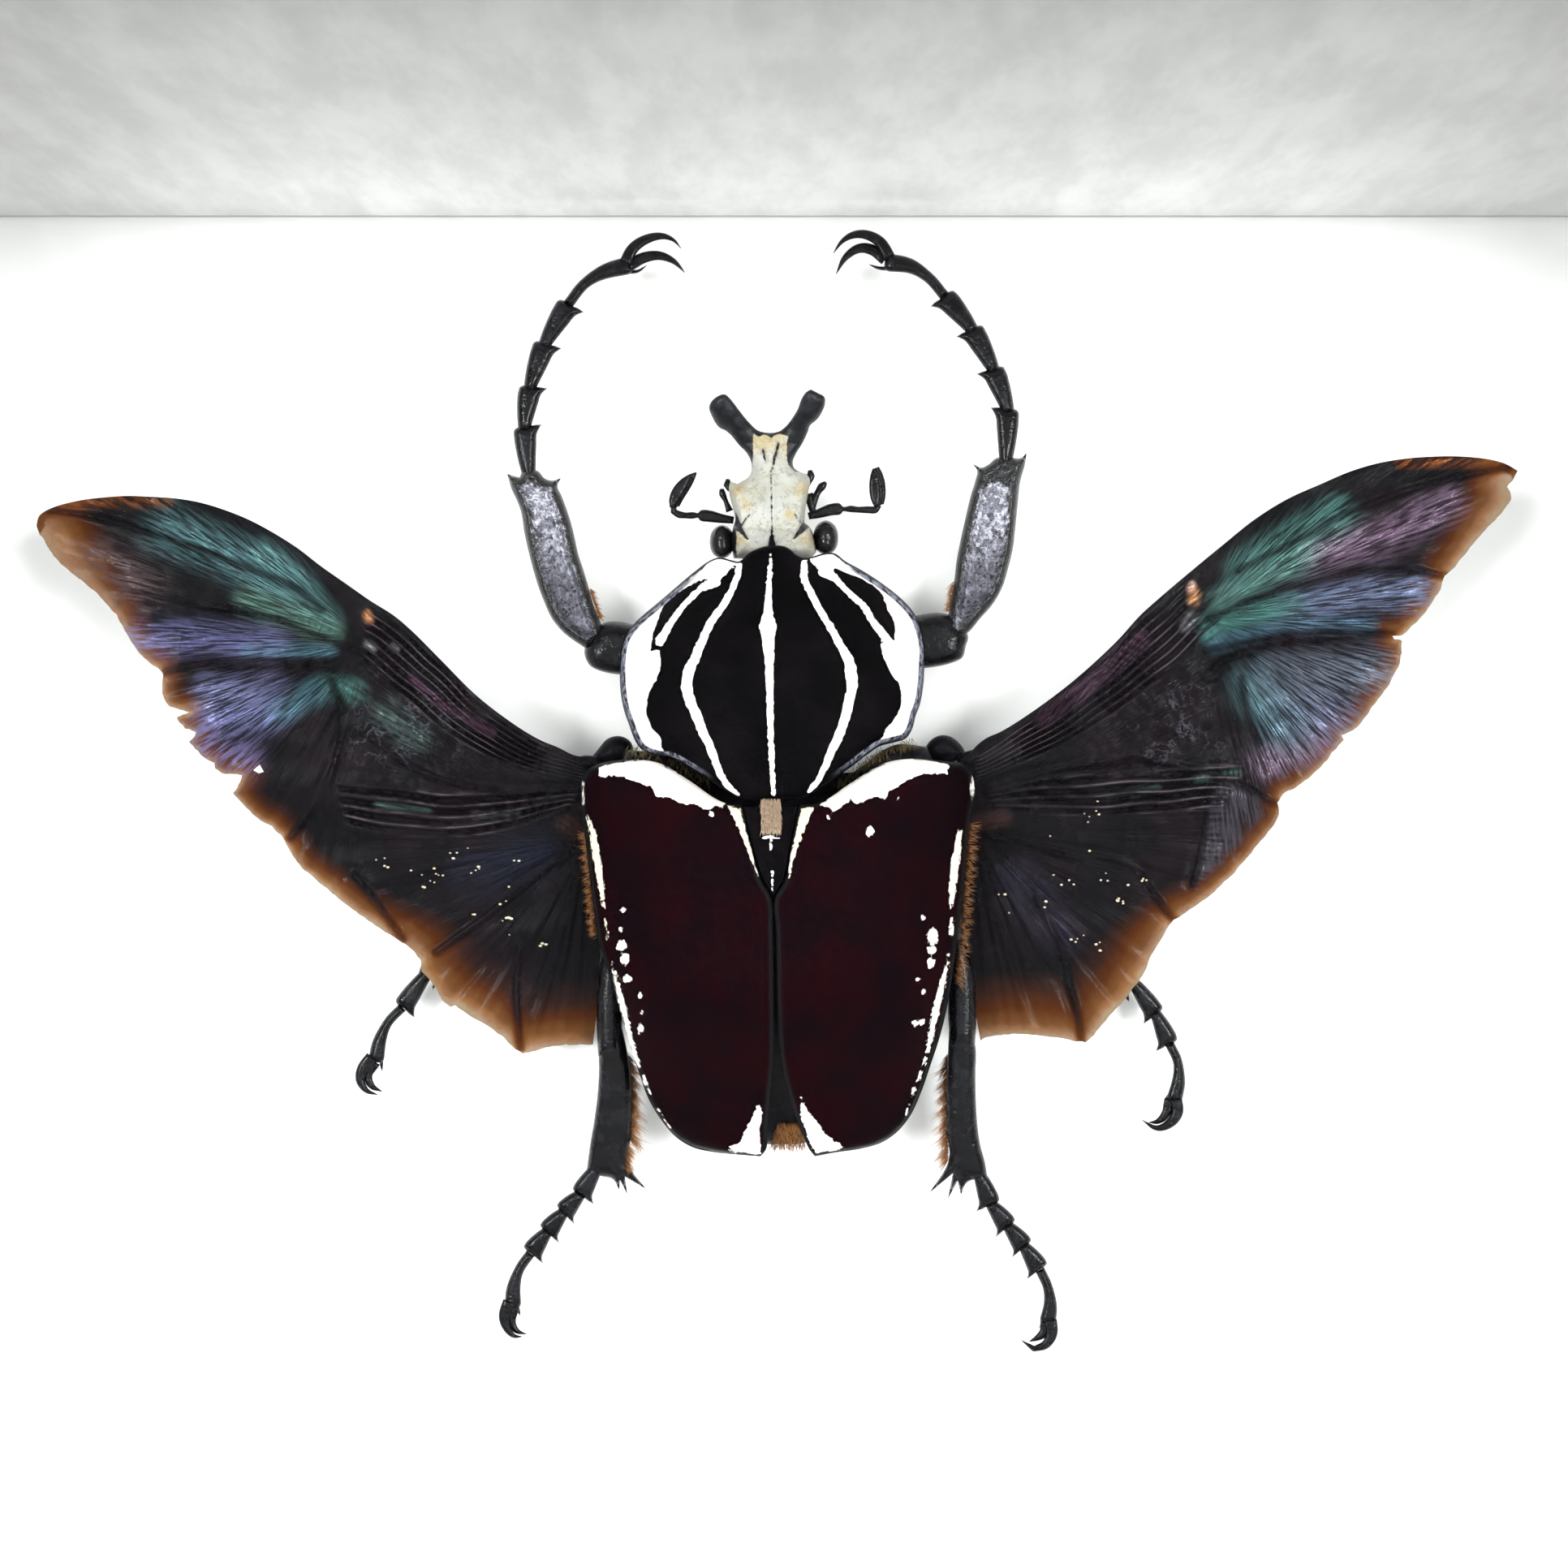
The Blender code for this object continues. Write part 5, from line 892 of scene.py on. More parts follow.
def velvet_finish():
    """Dark maroon wing cases with raised white scales where the markings are."""
    made, shader, tree = material("elytra_velvet")
    white = scales(tree, 0.24)
    dark = blend(tree, mottle(tree, 0.007, 4.0, 0.6, 0.3, 0.7), (0.0030, 0.0012, 0.0021),
                 (0.0078, 0.0010, 0.0018))
    fleck = mottle(tree, 0.00035, 2.0, 0.7, 0.58, 0.78)
    dark = blend(tree, times(tree, fleck, 0.5), dark, (0.014, 0.006, 0.012))
    rim = span(tree, attribute(tree, "inner"), 0.15, 0.75, 1.0, 0.0)
    dark = blend(tree, rim, dark, (0.008, 0.008, 0.009))
    chalk = blend(tree, grain(tree, 0.0025, 3.0), (0.95, 0.93, 0.88), (0.80, 0.74, 0.66))
    cream = blend(tree, attribute(tree, "cream"), chalk, (0.72, 0.60, 0.42))
    rough = math_node(tree, "SUBTRACT", 0.62, times(tree, rim, 0.30))
    raised = bump(tree, white, 0.00006, 0.8)
    dress(tree, shader, blend(tree, white, dark, cream), rough, 0.006,
          bump(tree, grain(tree, 0.00022, 3.0, 0.7), 0.00002, 0.5, raised))
    return made


def shield_finish():
    """Black pronotum with white stripes, white sides and a blue-grey strip at its outer edge."""
    made, shader, tree = material("pronotum_velvet")
    white = scales(tree, 0.16)
    dark = blend(tree, mottle(tree, 0.006, 4.0, 0.6, 0.35, 0.75), (0.0012, 0.0010, 0.0013),
                 (0.0038, 0.0029, 0.0038))
    chalk = blend(tree, mottle(tree, 0.004, 4.0, 0.55, 0.35, 0.7), (0.96, 0.95, 0.93),
                  (0.80, 0.78, 0.74))
    lustre = blend(tree, mottle(tree, 0.0007, 4.0, 0.7, 0.42, 0.60), (0.020, 0.020, 0.032),
                   (0.24, 0.25, 0.31))
    inner = attribute(tree, "inner")
    at_side = times(tree, span(tree, inner, 0.66, 0.80, 1.0, 0.0), attribute(tree, "sides"))
    shade = blend(tree, at_side, blend(tree, white, dark, chalk), lustre)
    rim = span(tree, inner, 0.14, 0.26, 1.0, 0.0)
    raised = bump(tree, white, 0.00006, 0.8)
    dress(tree, shader, blend(tree, rim, shade, (0.004, 0.004, 0.006)),
          span(tree, inner, 0.0, 0.5, 0.30, 0.60), 0.012,
          bump(tree, pits(tree, 2600.0), 0.00003, 0.35, raised))
    return made


def cuticle_finish(name="black_cuticle", shade=(0.0016, 0.0015, 0.0020), rough=0.16,
                   gloss=0.18):
    """Glossy black cuticle with pits, small bumps and a faint blue cast."""
    made, shader, tree = material(name)
    cloud = grain(tree, 0.002, 4.0, 0.6)
    color = blend(tree, span(tree, cloud, 0.35, 0.75), shade, (0.0060, 0.0058, 0.0088))
    under = bump(tree, span(tree, pits(tree, 2200.0), 0.1, 0.5), 0.00005, 0.5)
    dress(tree, shader, color, span(tree, cloud, 0.3, 0.7, rough, rough + 0.18), gloss,
          bump(tree, grain(tree, 0.0009, 4.0, 0.6), 0.00012, 0.5, under))
    return made


def shin_finish():
    """Front shins: a silvery, pitted face between black edges, with painted glints on the upper
    part and on the rims of the pits.
    """
    made, shader, tree = material("silvery_shin")
    dents = span(tree, pits(tree, 2100.0), 0.08, 0.42)
    ragged = mottle(tree, 0.0009, 4.0, 0.7, 0.3, 0.7, -0.55, 0.55, smooth=False)
    face = span(tree, plus(tree, attribute(tree, "face"), ragged), 0.35, 0.75)
    glint_zone = attribute(tree, "glint_zone")
    # Painted highlight: the silver is painted a little lighter on the upper part of the face
    mottled = plus(tree, grain(tree, 0.0015, 5.0, 0.75),
                   span(tree, glint_zone, 0.0, 1.0, -0.07, 0.05))
    silver = blend(tree, span(tree, mottled, 0.41, 0.58), (0.016, 0.016, 0.024),
                   (0.120, 0.118, 0.150))
    # Painted glints: bright flakes on the upper part of the face
    painted_glint_flakes = times(tree, glint_zone, mottle(tree, 0.0007, 5.0, 0.75, 0.50, 0.56))
    silver = blend(tree, painted_glint_flakes, silver, (0.42, 0.42, 0.47))
    # Painted glints on the rims of the pits
    glint = blend(tree, times(tree, dents, 0.22), silver, (0.17, 0.17, 0.20))
    wire(tree, shader.inputs["Metallic"], times(tree, face, 0.62))
    under = bump(tree, dents, 0.00009, 0.9)
    dress(tree, shader, blend(tree, face, (0.007, 0.0065, 0.008), glint),
          span(tree, face, 0.0, 1.0, 0.26, 0.38), 0.35,
          bump(tree, grain(tree, 0.0007, 4.0, 0.7), 0.00016, 0.7, under))
    return made


def head_finish():
    """Cream head scales with black horns, seams and a worn, cracked surface."""
    made, shader, tree = material("cream_head")
    ragged = mottle(tree, 0.0005, 4.0, 0.7, 0.25, 0.75, -0.16, 0.16, smooth=False)
    black = span(tree, plus(tree, attribute(tree, "mark"), ragged), -0.06, 0.08)
    pale = blend(tree, mottle(tree, 0.003, 3.0, 0.55, 0.35, 0.7), (0.390, 0.393, 0.368),
                 (0.352, 0.348, 0.290))
    yellow = times(tree, attribute(tree, "warm"),
                   mottle(tree, 0.0012, 4.0, 0.7, 0.35, 0.60, 0.25, 1.0))
    warm = blend(tree, yellow, pale, (0.35, 0.27, 0.12))
    grey = mottle(tree, 0.0008, 5.0, 0.7, 0.54, 0.72, 0.0, 0.6)
    cream = blend(tree, grey, warm, (0.17, 0.165, 0.14))
    crack = creases(tree, grain(tree, 0.0017, 4.0, 0.6), 0.018, 0.60)
    cream = blend(tree, crack, cream, (0.13, 0.115, 0.090))
    horn = blend(tree, mottle(tree, 0.0012, 4.0, 0.6, 0.4, 0.8), (0.0035, 0.0035, 0.0050),
                 (0.013, 0.0135, 0.020))
    raised = bump(tree, black, 0.00008, -0.7)
    dress(tree, shader, blend(tree, black, cream, horn),
          span(tree, black, 0.0, 1.0, 0.52, 0.36), 0.25,
          bump(tree, grain(tree, 0.00045, 5.0, 0.7), 0.00010, 0.6, raised))
    return made


def ray_streaks(tree, key, wide, long):
    """Noise drawn out along the rays of one fan of a wing."""
    rays = put(tree, "Mapping", {"Vector": attribute(tree, key, "Vector"),
                                 "Scale": (wide, long, 1.0)}).outputs[0]
    return put(tree, "TexNoise", {"Vector": rays, "Scale": 2.8, "Detail": 3.0,
                                  "Roughness": 0.62}).outputs["Fac"]


def membrane_color(tree):
    """Pale brown at the outer edge, then orange-brown, then black with mauve clouds."""
    ragged = mottle(tree, 0.006, 4.0, 0.6, 0.25, 0.75, -0.7, 0.7, smooth=False)
    edge = plus(tree, attribute(tree, "edge"), ragged)
    ramp = put(tree, "ValToRGB", {0: span(tree, edge, 0.0, 8.0, smooth=False)})
    stops = ramp.color_ramp.elements
    stops[0].position, stops[0].color = 0.0, (0.23, 0.150, 0.080, 1)
    stops[1].position, stops[1].color = 1.0, (0.0040, 0.0038, 0.0046, 1)
    for position, color in ((0.08, (0.19, 0.082, 0.030)), (0.20, (0.100, 0.039, 0.012)),
                            (0.42, (0.050, 0.0135, 0.0032)), (0.66, (0.022, 0.0080, 0.0052))):
        stops.new(position).color = (*color, 1)
    clouded = blend(tree, mottle(tree, 0.010, 4.0, 0.6, 0.42, 0.66, 0.0, 0.55),
                    ramp.outputs[0], (0.0090, 0.0054, 0.0070))
    return blend(tree, span(tree, edge, 3.0, 7.0), ramp.outputs[0], clouded)


def fold_color(tree, film, crumple):
    """Adds painted highlights to a film: lighter broad crests and thin glints along the ridges,
    and glints on the creases of the crumpled part.
    """
    ridged = attribute(tree, "ridged")
    wave = math_node(tree, "COSINE", times(tree, attribute(tree, "ridge"), 2 * math.pi))
    broken = mottle(tree, 0.0085, 3.0, 0.7, 0.42, 0.62)
    # Painted highlight: the broad crests of the ridges are painted lighter
    broad_crest_light = times(tree, ridged, span(tree, wave, -0.2, 1.0))
    # Painted glints: thin broken lines along the ridge crests
    crest_glint_lines = times(tree, times(tree, span(tree, wave, 0.80, 1.0), broken), ridged)
    # Painted glints on the creases of the crumpled part
    crease_glints = times(tree, creases(tree, crumple, 0.028), attribute(tree, "crumpled"))
    crease_glints = times(tree, crease_glints, times(tree, broken, 0.5))
    film = blend(tree, times(tree, broad_crest_light, 0.85), film, (0.018, 0.015, 0.018))
    film = blend(tree, times(tree, crest_glint_lines, 0.8), film, (0.105, 0.085, 0.100))
    return blend(tree, crease_glints, film, (0.12, 0.115, 0.15))


def wing_finish():
    """Dark veined membrane with a blue-green sheen, thin and brown towards its outer edge."""
    made, shader, tree = material("wing_membrane")
    streaks = [ray_streaks(tree, "rays_outer", 1.35, 0.10),
               ray_streaks(tree, "rays_inner", 1.2, 0.07)]
    streak = put(tree, "Mix", {0: attribute(tree, "outer"), 2: streaks[1],
                               3: streaks[0]}).outputs[0]
    crumple = grain(tree, 0.0024, 4.0, 0.6)
    tint = put(tree, "Attribute", attribute_name="tint")
    strength = times(tree, tint.outputs["Alpha"], span(tree, streak, 0.40, 0.60, 0.10, 1.0))
    film = blend(tree, strength, membrane_color(tree), tint.outputs["Color"])
    # Painted highlights on the ridges and creases of the wing
    film = fold_color(tree, film, crumple)
    edge = attribute(tree, "edge")
    metal = times(tree, span(tree, edge, 3.0, 8.0), 0.6)
    wire(tree, shader.inputs["Metallic"], times(tree, strength, metal))
    wire(tree, shader.inputs["Alpha"], attribute(tree, "cover"))
    flat_rim = span(tree, edge, 4.0, 8.5)
    fine = bump(tree, times(tree, streak, flat_rim), 0.00035, 0.6)
    dress(tree, shader, film, span(tree, crumple, 0.3, 0.7, 0.13, 0.30), 0.045,
          bump(tree, crumple, 0.00030, 0.45, fine))
    return made


def hair_finish(name, root, tip):
    """Hair that goes from one colour at its root to another at its tip."""
    made, shader, tree = material(name)
    dress(tree, shader, blend(tree, span(tree, attribute(tree, "along"), 0.0, 1.0), root, tip),
          0.42)
    return made


def case_layers(points, rim):
    """Markings of a wing case, its rim, and where its scales are cream instead of white."""
    flat = points[:, :2]
    u, v = flat.T
    beside = np.exp(-((np.abs(u + 1.6) - 4.0) / 2.0) ** 2)
    beside = beside * ease(v, -13.0, -11.0) * ease(-v, 1.5, 3.5)
    side = 0.5 * ease(np.abs(u), 20.3, 21.3) * ease(-v, 4.0, 5.0)
    return {"mark": marks(flat, ELYTRA_PATCHES, ELYTRA_STROKES, ELYTRA_DOTS),
            "inner": depth(flat, rim), "cream": np.maximum(beside, side)}


def make_elytra():
    finish = velvet_finish()
    for name, outline in ELYTRA.items():
        edge = curve(outline, 0.3, closed=True)
        places, faces, inner = sheet(edge, 0.42, rim=(0.06, 0.16, 0.3, 0.5))
        rolled = 2.2 * (1.0 - np.clip(inner / 1.6, 0.0, 1.0)) ** 2 * ease(places[:, 1], -6, 1)
        bead = 0.16 * np.exp(-((inner - 0.42) / 0.2) ** 2)
        bead -= 0.35 * (1.0 - np.clip(inner / 0.35, 0.0, 1.0)) ** 2
        dents = 0.10 * lumps(places, 5.0, 3.0) + 0.03 * lumps(places, 1.6, 5.0)
        front = case_height(places) - rolled + bead + dents * ease(inner, 0.0, 2.0)
        back = front - 0.15 - 0.85 * ease(inner, 0.0, 1.6)
        piece(name + "_case", [close(places, faces, front, back)], finish, "elytra_maroon",
              [name], lambda points, rim=edge: case_layers(points, rim))


def shield_surfaces(places, edge, inner):
    """Front and back of the domed pronotum over its outline."""
    centre = np.array(SHIELD_CENTRE)
    angles = np.arctan2(*(edge - centre).T[::-1])
    order = np.argsort(angles)
    turn = np.arctan2(*(places - centre).T[::-1])
    edge_u = np.interp(turn, angles[order], edge[order, 0], period=2 * math.pi)
    edge_v = np.interp(turn, angles[order], edge[order, 1], period=2 * math.pi)
    reach = np.clip(np.hypot(*(places - centre).T)
                    / np.hypot(edge_u - centre[0], edge_v - centre[1]), 0.0, 1.0)
    across = np.minimum(np.abs(edge_u - centre[0]) / 19.0, 1.0)
    rim = (10.0 + 5.0 * ease(edge_v, 19.0, 29.0) * (1.0 - across ** 2)
           + 12.5 * ease(-edge_v, -12.0, 2.0) * (1.0 - across ** 4))
    top = 24.6 - 5.5 * ease(places[:, 1], 12.0, 30.0)
    front = rim + (top - rim) * np.sqrt(np.maximum(1.0 - reach ** 2.3, 0.0))
    bead = 0.30 * np.exp(-((inner - 0.35) / 0.22) ** 2)
    bead -= 0.3 * np.exp(-((inner - 0.95) / 0.3) ** 2)
    front += bead * ease(np.abs(places[:, 0] - centre[0]), 8.0, 14.0)
    dents = 0.07 * lumps(places, 4.0, 9.0) + 0.02 * lumps(places, 1.2, 2.0)
    front += dents * ease(inner, 0.0, 2.0)
    low = np.interp(reach, [0.0, 0.1, 0.7], [1.4, 1.4, 4.0])
    climb = 4.0 + (rim - 1.95 - 4.0) * (reach - 0.7) / 0.1
    high = rim - 1.3 * np.interp(reach, [0.8, 0.95, 1.0], [1.5, 1.0, 0.05])
    return front, np.where(reach > 0.8, high, np.where(reach > 0.7, climb, low))


def make_pronotum():
    edge = curve(PRONOTUM, 0.3, closed=True)
    places, faces, inner = sheet(edge, 0.40, rim=(0.06, 0.16, 0.3, 0.5, 0.8))
    front, back = shield_surfaces(places, edge, inner)

    def layers(points):
        flat = points[:, :2]
        mark = marks(flat, strokes=PRONOTUM_STROKES)
        for side in PRONOTUM_SIDES.values():
            mark = np.maximum(mark, depth(flat, curve(side, 0.4, closed=True, corner=40)))
        sides = ease(np.abs(flat[:, 0] - SHIELD_CENTRE[0]), 7.0, 12.0)
        return {"mark": mark, "inner": depth(flat, edge), "sides": sides}

    piece("pronotum_shield", [close(places, faces, front, back)], shield_finish(),
          "pronotum_striped", ["pronotum"], layers)


def make_scutellum():
    part = pillow(SCUTELLUM, 0.3, lambda places: case_height(places) - 0.75, 0.55, 0.9)

    def layers(points):
        flat = points[:, :2]
        return {"mark": marks(flat, strokes=SCUTELLUM_STROKES),
                "inner": depth(flat, SCUTELLUM)}

    piece("scutellum_plate", [part], shield_finish(), "beetle_black", ["scutellum"], layers)


def profile(table):
    """Height along v, read from a table of (v, height)."""
    rows = np.array(table)
    return lambda places: np.interp(places[:, 1], rows[:, 0], rows[:, 1])


def head_relief(places, inner):
    """Ridges, furrows and grain of the head's upper face."""
    u, v = places.T
    face = ease(v, 28.0, 31.0) * ease(-v, -39.0, -36.0)
    relief = 0.35 * np.exp(-((inner - 0.6) / 0.35) ** 2) * face
    relief += 0.30 * np.exp(-((u + 1.5) / 0.5) ** 2) * face
    relief -= 0.45 * np.exp(-(((np.abs(u + 1.6) - 2.6) / 1.1) ** 2)) * face
    relief += 0.5 * np.exp(-((u + 1.7) / 0.9) ** 2) * ease(v, 38.0, 40.0) * ease(-v, -44, -42)
    relief -= 0.35 * ease(marks(places, strokes=HEAD_LINES), -0.2, 0.15)
    rough = 0.10 * lumps(places, 1.3, 4.0) + 0.05 * lumps(places, 0.5, 7.0)
    return relief + rough * ease(inner, 0.0, 0.6)


def head_layers(points):
    """Where the head is black, and where it is yellow."""
    flat = points[:, :2]
    mark = np.maximum(-depth(flat, curve(HEAD_CREAM, 0.3, closed=True)),
                      marks(flat, strokes=HEAD_LINES))
    warm = 0.9 * ease(flat[:, 1], 40.0, 42.0)
    for u, v, size in HEAD_WARM:
        away = np.hypot(*(flat - (u, v)).T)
        warm = np.maximum(warm, np.exp(-(away / size) ** 2))
    return {"mark": mark, "warm": warm}


def make_eyes():
    eyes = []
    for u, v, ru, rv in EYES:
        spine = [(u, v + reach * rv) for reach in (-1.0, -0.7, 0.0, 0.7, 1.0)]
        widths = np.array((0.3, 1.5, 2.0, 1.5, 0.3)) * ru
        eyes.append(pillow(strip(spine, widths), 0.18, 9.4, 2.1, ru, step=0.15))
    piece("eyes", eyes, cuticle_finish("eye_gloss", (0.008, 0.0065, 0.006), 0.08),
          "beetle_black")


def make_head(black):
    top, under = profile(HEAD_TOP), profile(HEAD_UNDER)
    edge = curve(HEAD, 0.12, closed=True)
    places, faces, inner = sheet(edge, 0.16, rim=(0.05, 0.14, 0.28))
    swell = np.sqrt(1.0 - (1.0 - np.clip(inner / 1.7, 0.0, 1.0)) ** 2)
    level, half = (top(places) + under(places)) / 2, (top(places) - under(places)) / 2
    front = level + half * swell + head_relief(places, inner)
    skull = close(places, faces, front + 0.01, level - half * swell - 0.01)
    piece("head_plate", [skull], head_finish(), "head_cream", ["head"], head_layers)
    make_eyes()
    mouth = []
    for line in MOUTH:
        rows = np.array(line)
        mouth.append(pillow(strip(rows, rows[:, 2]), 0.16, 9.6, 0.42, 0.45, step=0.14))
    piece("mouthparts", mouth, black, "beetle_black")


def make_antennae(black):
    for name, data in ANTENNAE.items():
        stalk, club = np.array(data["stalk"]), np.array(data["club"])
        parts = [pillow(strip(stalk, stalk[:, 2] * 0.86), 0.14, ANTENNA_HEIGHT, 0.45, 0.45,
                        step=0.12)]
        for k, shift in enumerate((-0.30, 0.0, 0.30)):
            leaf = club[:, :2] + (shift, 0.1 * k)
            parts.append(pillow(strip(leaf, club[:, 2] * 0.80), 0.14,
                                ANTENNA_HEIGHT + 0.3 - 0.25 * k, 0.42, 0.5, step=0.14))
        piece(name + "_jointed", parts, black, "beetle_black", [name])


def tarsus_outline(start, end, width, side):
    """A tarsus joint: narrow at its root, flared at its far end, with a tooth inside."""
    along = unit(end - start)
    across = np.array((along[1], -along[0])) * side
    length = np.hypot(*(end - start))
    shape = [(-0.08, -0.28), (0.08, -0.36), (0.30, -0.45), (0.58, -0.53), (0.82, -0.56),
             (0.97, -0.52), (1.02, -0.34), (1.00, 0.10), (1.04, 0.46), (1.03, 0.86),
             (0.86, 0.60), (0.62, 0.51), (0.34, 0.42), (0.08, 0.34), (-0.08, 0.28)]
    return np.array([start + along * s * length + across * w * width for s, w in shape])


def shin_level(data):
    """Height along a shin, from its thigh to its first tarsus joint."""
    near, knee = data["heights"][:2]
    high, low = np.array(data["shin"][0]), np.array(data["tarsus"][0])
    reach = np.hypot(*(low - high))

    def level(places):
        t = np.clip(((places - high) @ (low - high)) / reach ** 2, 0.0, 1.0)
        return near + (knee - near) * t + 0.10 * lumps(places, 1.1, 1.0)

    return level


def tarsus_parts(data):
    """The tarsus joints, the foot and the claws of a leg."""
    knee, far = data["heights"][1:]
    width = data["width"]
    joints = [np.array(joint) for joint in data["tarsus"]]
    parts = []
    for i, (start, end) in enumerate(zip(joints, joints[1:])):
        height = knee + (far - knee) * (i + 1) / (len(joints) + 1)
        outline = tarsus_outline(start, end, width, data["side"])
        parts.append(pillow(outline, 0.18, height, 0.42 * width, 0.42 * width, step=0.16))
    foot = curve(data["foot"], 0.5)
    t = np.linspace(0.0, 1.0, len(foot))
    widths = width * (0.54 + 0.32 * ease(t, 0.3, 0.9) - 0.20 * ease(t, 0.94, 1.0))
    parts.append(pillow(strip(foot, widths), 0.18, far, 0.36 * width, 0.4 * width, step=0.16))
    for k, claw in enumerate(data["claws"]):
        path = curve(claw, 0.4)
        t = np.linspace(0.0, 1.0, len(path))
        wide = (0.45 if k == 2 else 1.40) * (1.0 - t ** 2.0) + 0.08
        parts.append(pillow(strip(path, wide), 0.14, far + 0.5 - 0.5 * k, 0.45, 0.5,
                            step=0.13))
    return parts


def make_shin(name, shin, level, near, silver):
    """The hollowed silvery blade of a front shin."""
    rim = curve(shin, 0.2, closed=True)

    def layers(points):
        inner = depth(points[:, :2], rim)
        shown = ease(-points[:, 1], -37.6, -36.0) * (points[:, 2] > near - 0.5)
        # Where the painted glints go: the upper part of the shin, away from its rim
        glint_zone = ease(points[:, 1], 23.0, 35.0) * (0.6 + 0.4 * ease(inner, 0.6, 1.6))
        return {"face": (inner - 0.6) / 0.9 * shown, "glint_zone": glint_zone}

    blade = pillow(shin, 0.2, level, 1.7, 2.0, hollow=0.75)
    piece(name + "_shin", [blade], silver, "beetle_black", [name], layers)


def make_legs(black):
    silver = shin_finish()
    for name, data in LEGS.items():
        near = data["heights"][0]
        shin, level = np.array(data["shin"]), shin_level(data)
        half, rim = (1.5, 1.5) if name.startswith("hind") else (2.2, 2.4)
        parts = [pillow(data["thigh"], 0.28, near - 0.4, half, rim)]
        if not name.startswith("fore"):
            parts.append(pillow(shin, 0.24, level, 1.25, 1.6))
        piece(name + "_limb", parts + tarsus_parts(data), black, "beetle_black", [name])
        if name.startswith("fore"):
            make_shin(name, shin, level, near, silver)


def bundle(places, bundles):
    """Ridge count across bundles of ridges between two lines, and nearness to a bundle."""
    count, near = np.zeros(len(places)), np.zeros(len(places))
    for first, last, ridges in bundles:
        first, last = curve(first, 1.5), curve(last, 1.5)
        above, below = gap_to(places, first), gap_to(places, last)
        reach = ease(depth(places, np.vstack((first, last[::-1]))), -0.4, 0.5)
        count = np.where(reach > near, ridges * above / np.maximum(above + below, 1e-6),
                         count)
        near = np.maximum(near, reach)
    count += 0.42 * lumps(places, 6.5, 12.0)
    return count, near * (0.72 + 0.5 * lumps(places, 5.0, 14.0))


def outer_part(u):
    """1 on the outer fan of a wing, beyond its hinge, and 0 on the inner one."""
    return ease(np.abs(u), 49.0, 57.0)


def wing_rays(places, data, side):
    """For each fan of a wing: turn in millimetres at RAY_REACH, distance, and the side."""
    rays = []
    for centre in (data["hinge"], data["fan"]):
        gap = places - np.array(centre)
        turn = np.arctan2(gap[:, 1], gap[:, 0] * side)
        rays.append(np.column_stack((turn * RAY_REACH, np.hypot(*gap.T),
                                     np.full(len(turn), side))))
    return rays


def wing_relief(places, data, rays):
    """Height of the ridges, veins, pleats and crumples of a wing."""
    out = np.abs(places[:, 0])
    ridge, ridged = bundle(places, data["bundles"])
    ribs = 0.5 * ridged * np.cos(2 * math.pi * ridge) * ease(out, 24.0, 32.0)
    for vein in data["veins"]:
        away = gap_to(places, curve(vein, 1.2))
        ribs += 0.34 * np.exp(-(away / 0.26) ** 2)
        ribs -= 0.20 * np.exp(-((away - 0.75) / 0.5) ** 2)
    beyond = outer_part(out)
    pleats = [np.array([noise.noise(Vector((ray[0] * 0.9, ray[1] * 0.05, 4.0)))
                        for ray in fan]) for fan in rays]
    low_fan = ease(-places[:, 1], 3.0, 9.0)
    ribs += 0.45 * pleats[0] * beyond + 0.40 * pleats[1] * (1 - beyond) * low_fan
    crumpled = np.exp(-(np.hypot(out - 45.0, places[:, 1] - 6.0) / 8.0) ** 2)
    return ribs + 0.8 * lumps(places, 2.1, 2.0) * crumpled + 0.12 * lumps(places, 3.0, 7.0)


def wing_tint(base, data, edge, veins):
    """Colour and strength of the sheen on a wing, weak along its veins."""
    tint = np.zeros((len(base), 4))
    for line, width, color in data["tints"]:
        weight = np.exp(-(gap_to(base, line) / width) ** 2)
        muted = TINT_LEVEL * (TINT_PURITY * np.array(color)
                              + (1 - TINT_PURITY) * np.mean(color))
        tint += weight[:, None] * np.append(muted, 1.0)
    glow = np.exp(-(gap_to(base, data["lead_color"]) / 0.7) ** 2)
    tint += glow[:, None] * (0.13, 0.040, 0.012, 1.0)
    tint[:, :3] /= np.maximum(tint[:, 3:], 1.0)
    tint[:, 3] = np.minimum(tint[:, 3], 1.0)
    tint[:, :3] /= np.maximum(tint[:, 3:], 0.2)
    if "panel" in data:
        weight = ease(depth(base, data["panel"]), -0.15, 0.25)[:, None]
        tint = tint * (1 - weight) + weight * (0.050, 0.046, 0.058, 1.0)
        tint[:, 3] *= 1 - weight[:, 0] * (1 - ease(edge, 2.0, 7.0))
    tint[:, 3] *= 1 - 0.85 * veins
    return np.clip(tint, 0, 1)


def wing_layers(base, data, outer, leading, rays):
    """What the wing's finish reads at each place of its sheet."""
    u, v = np.abs(base[:, 0]), base[:, 1]
    tip = ease(u, 74.0, 89.0)
    edge = gap_to(base, outer) * (2.3 - 1.3 * ease(-v, 8.0, 20.0) - 1.80 * tip)
    near_lead = gap_to(base, leading) < 0.9
    edge = np.where(near_lead, np.maximum(edge, 8.5 * (1 - 0.75 * tip)), edge)
    veins = np.min([gap_to(base, curve(vein, 1.2)) for vein in data["veins"]], axis=0)
    veins = np.exp(-(veins / 0.55) ** 2)
    tint = wing_tint(base, data, edge, veins)
    edge = edge + 3.0 * veins
    ridge, ridged = bundle(base, data["bundles"])
    crumpled = np.exp(-(np.hypot((u - 48.0) / 7.5, (v - 8.0) / 5.0)) ** 2)
    return {"edge": edge, "outer": outer_part(u), "cover": 0.72 + 0.28 * ease(edge, 0.0, 2.5),
            "ridge": ridge, "ridged": ridged, "crumpled": crumpled, "tint": tint,
            "rays_outer": rays[0], "rays_inner": rays[1]}


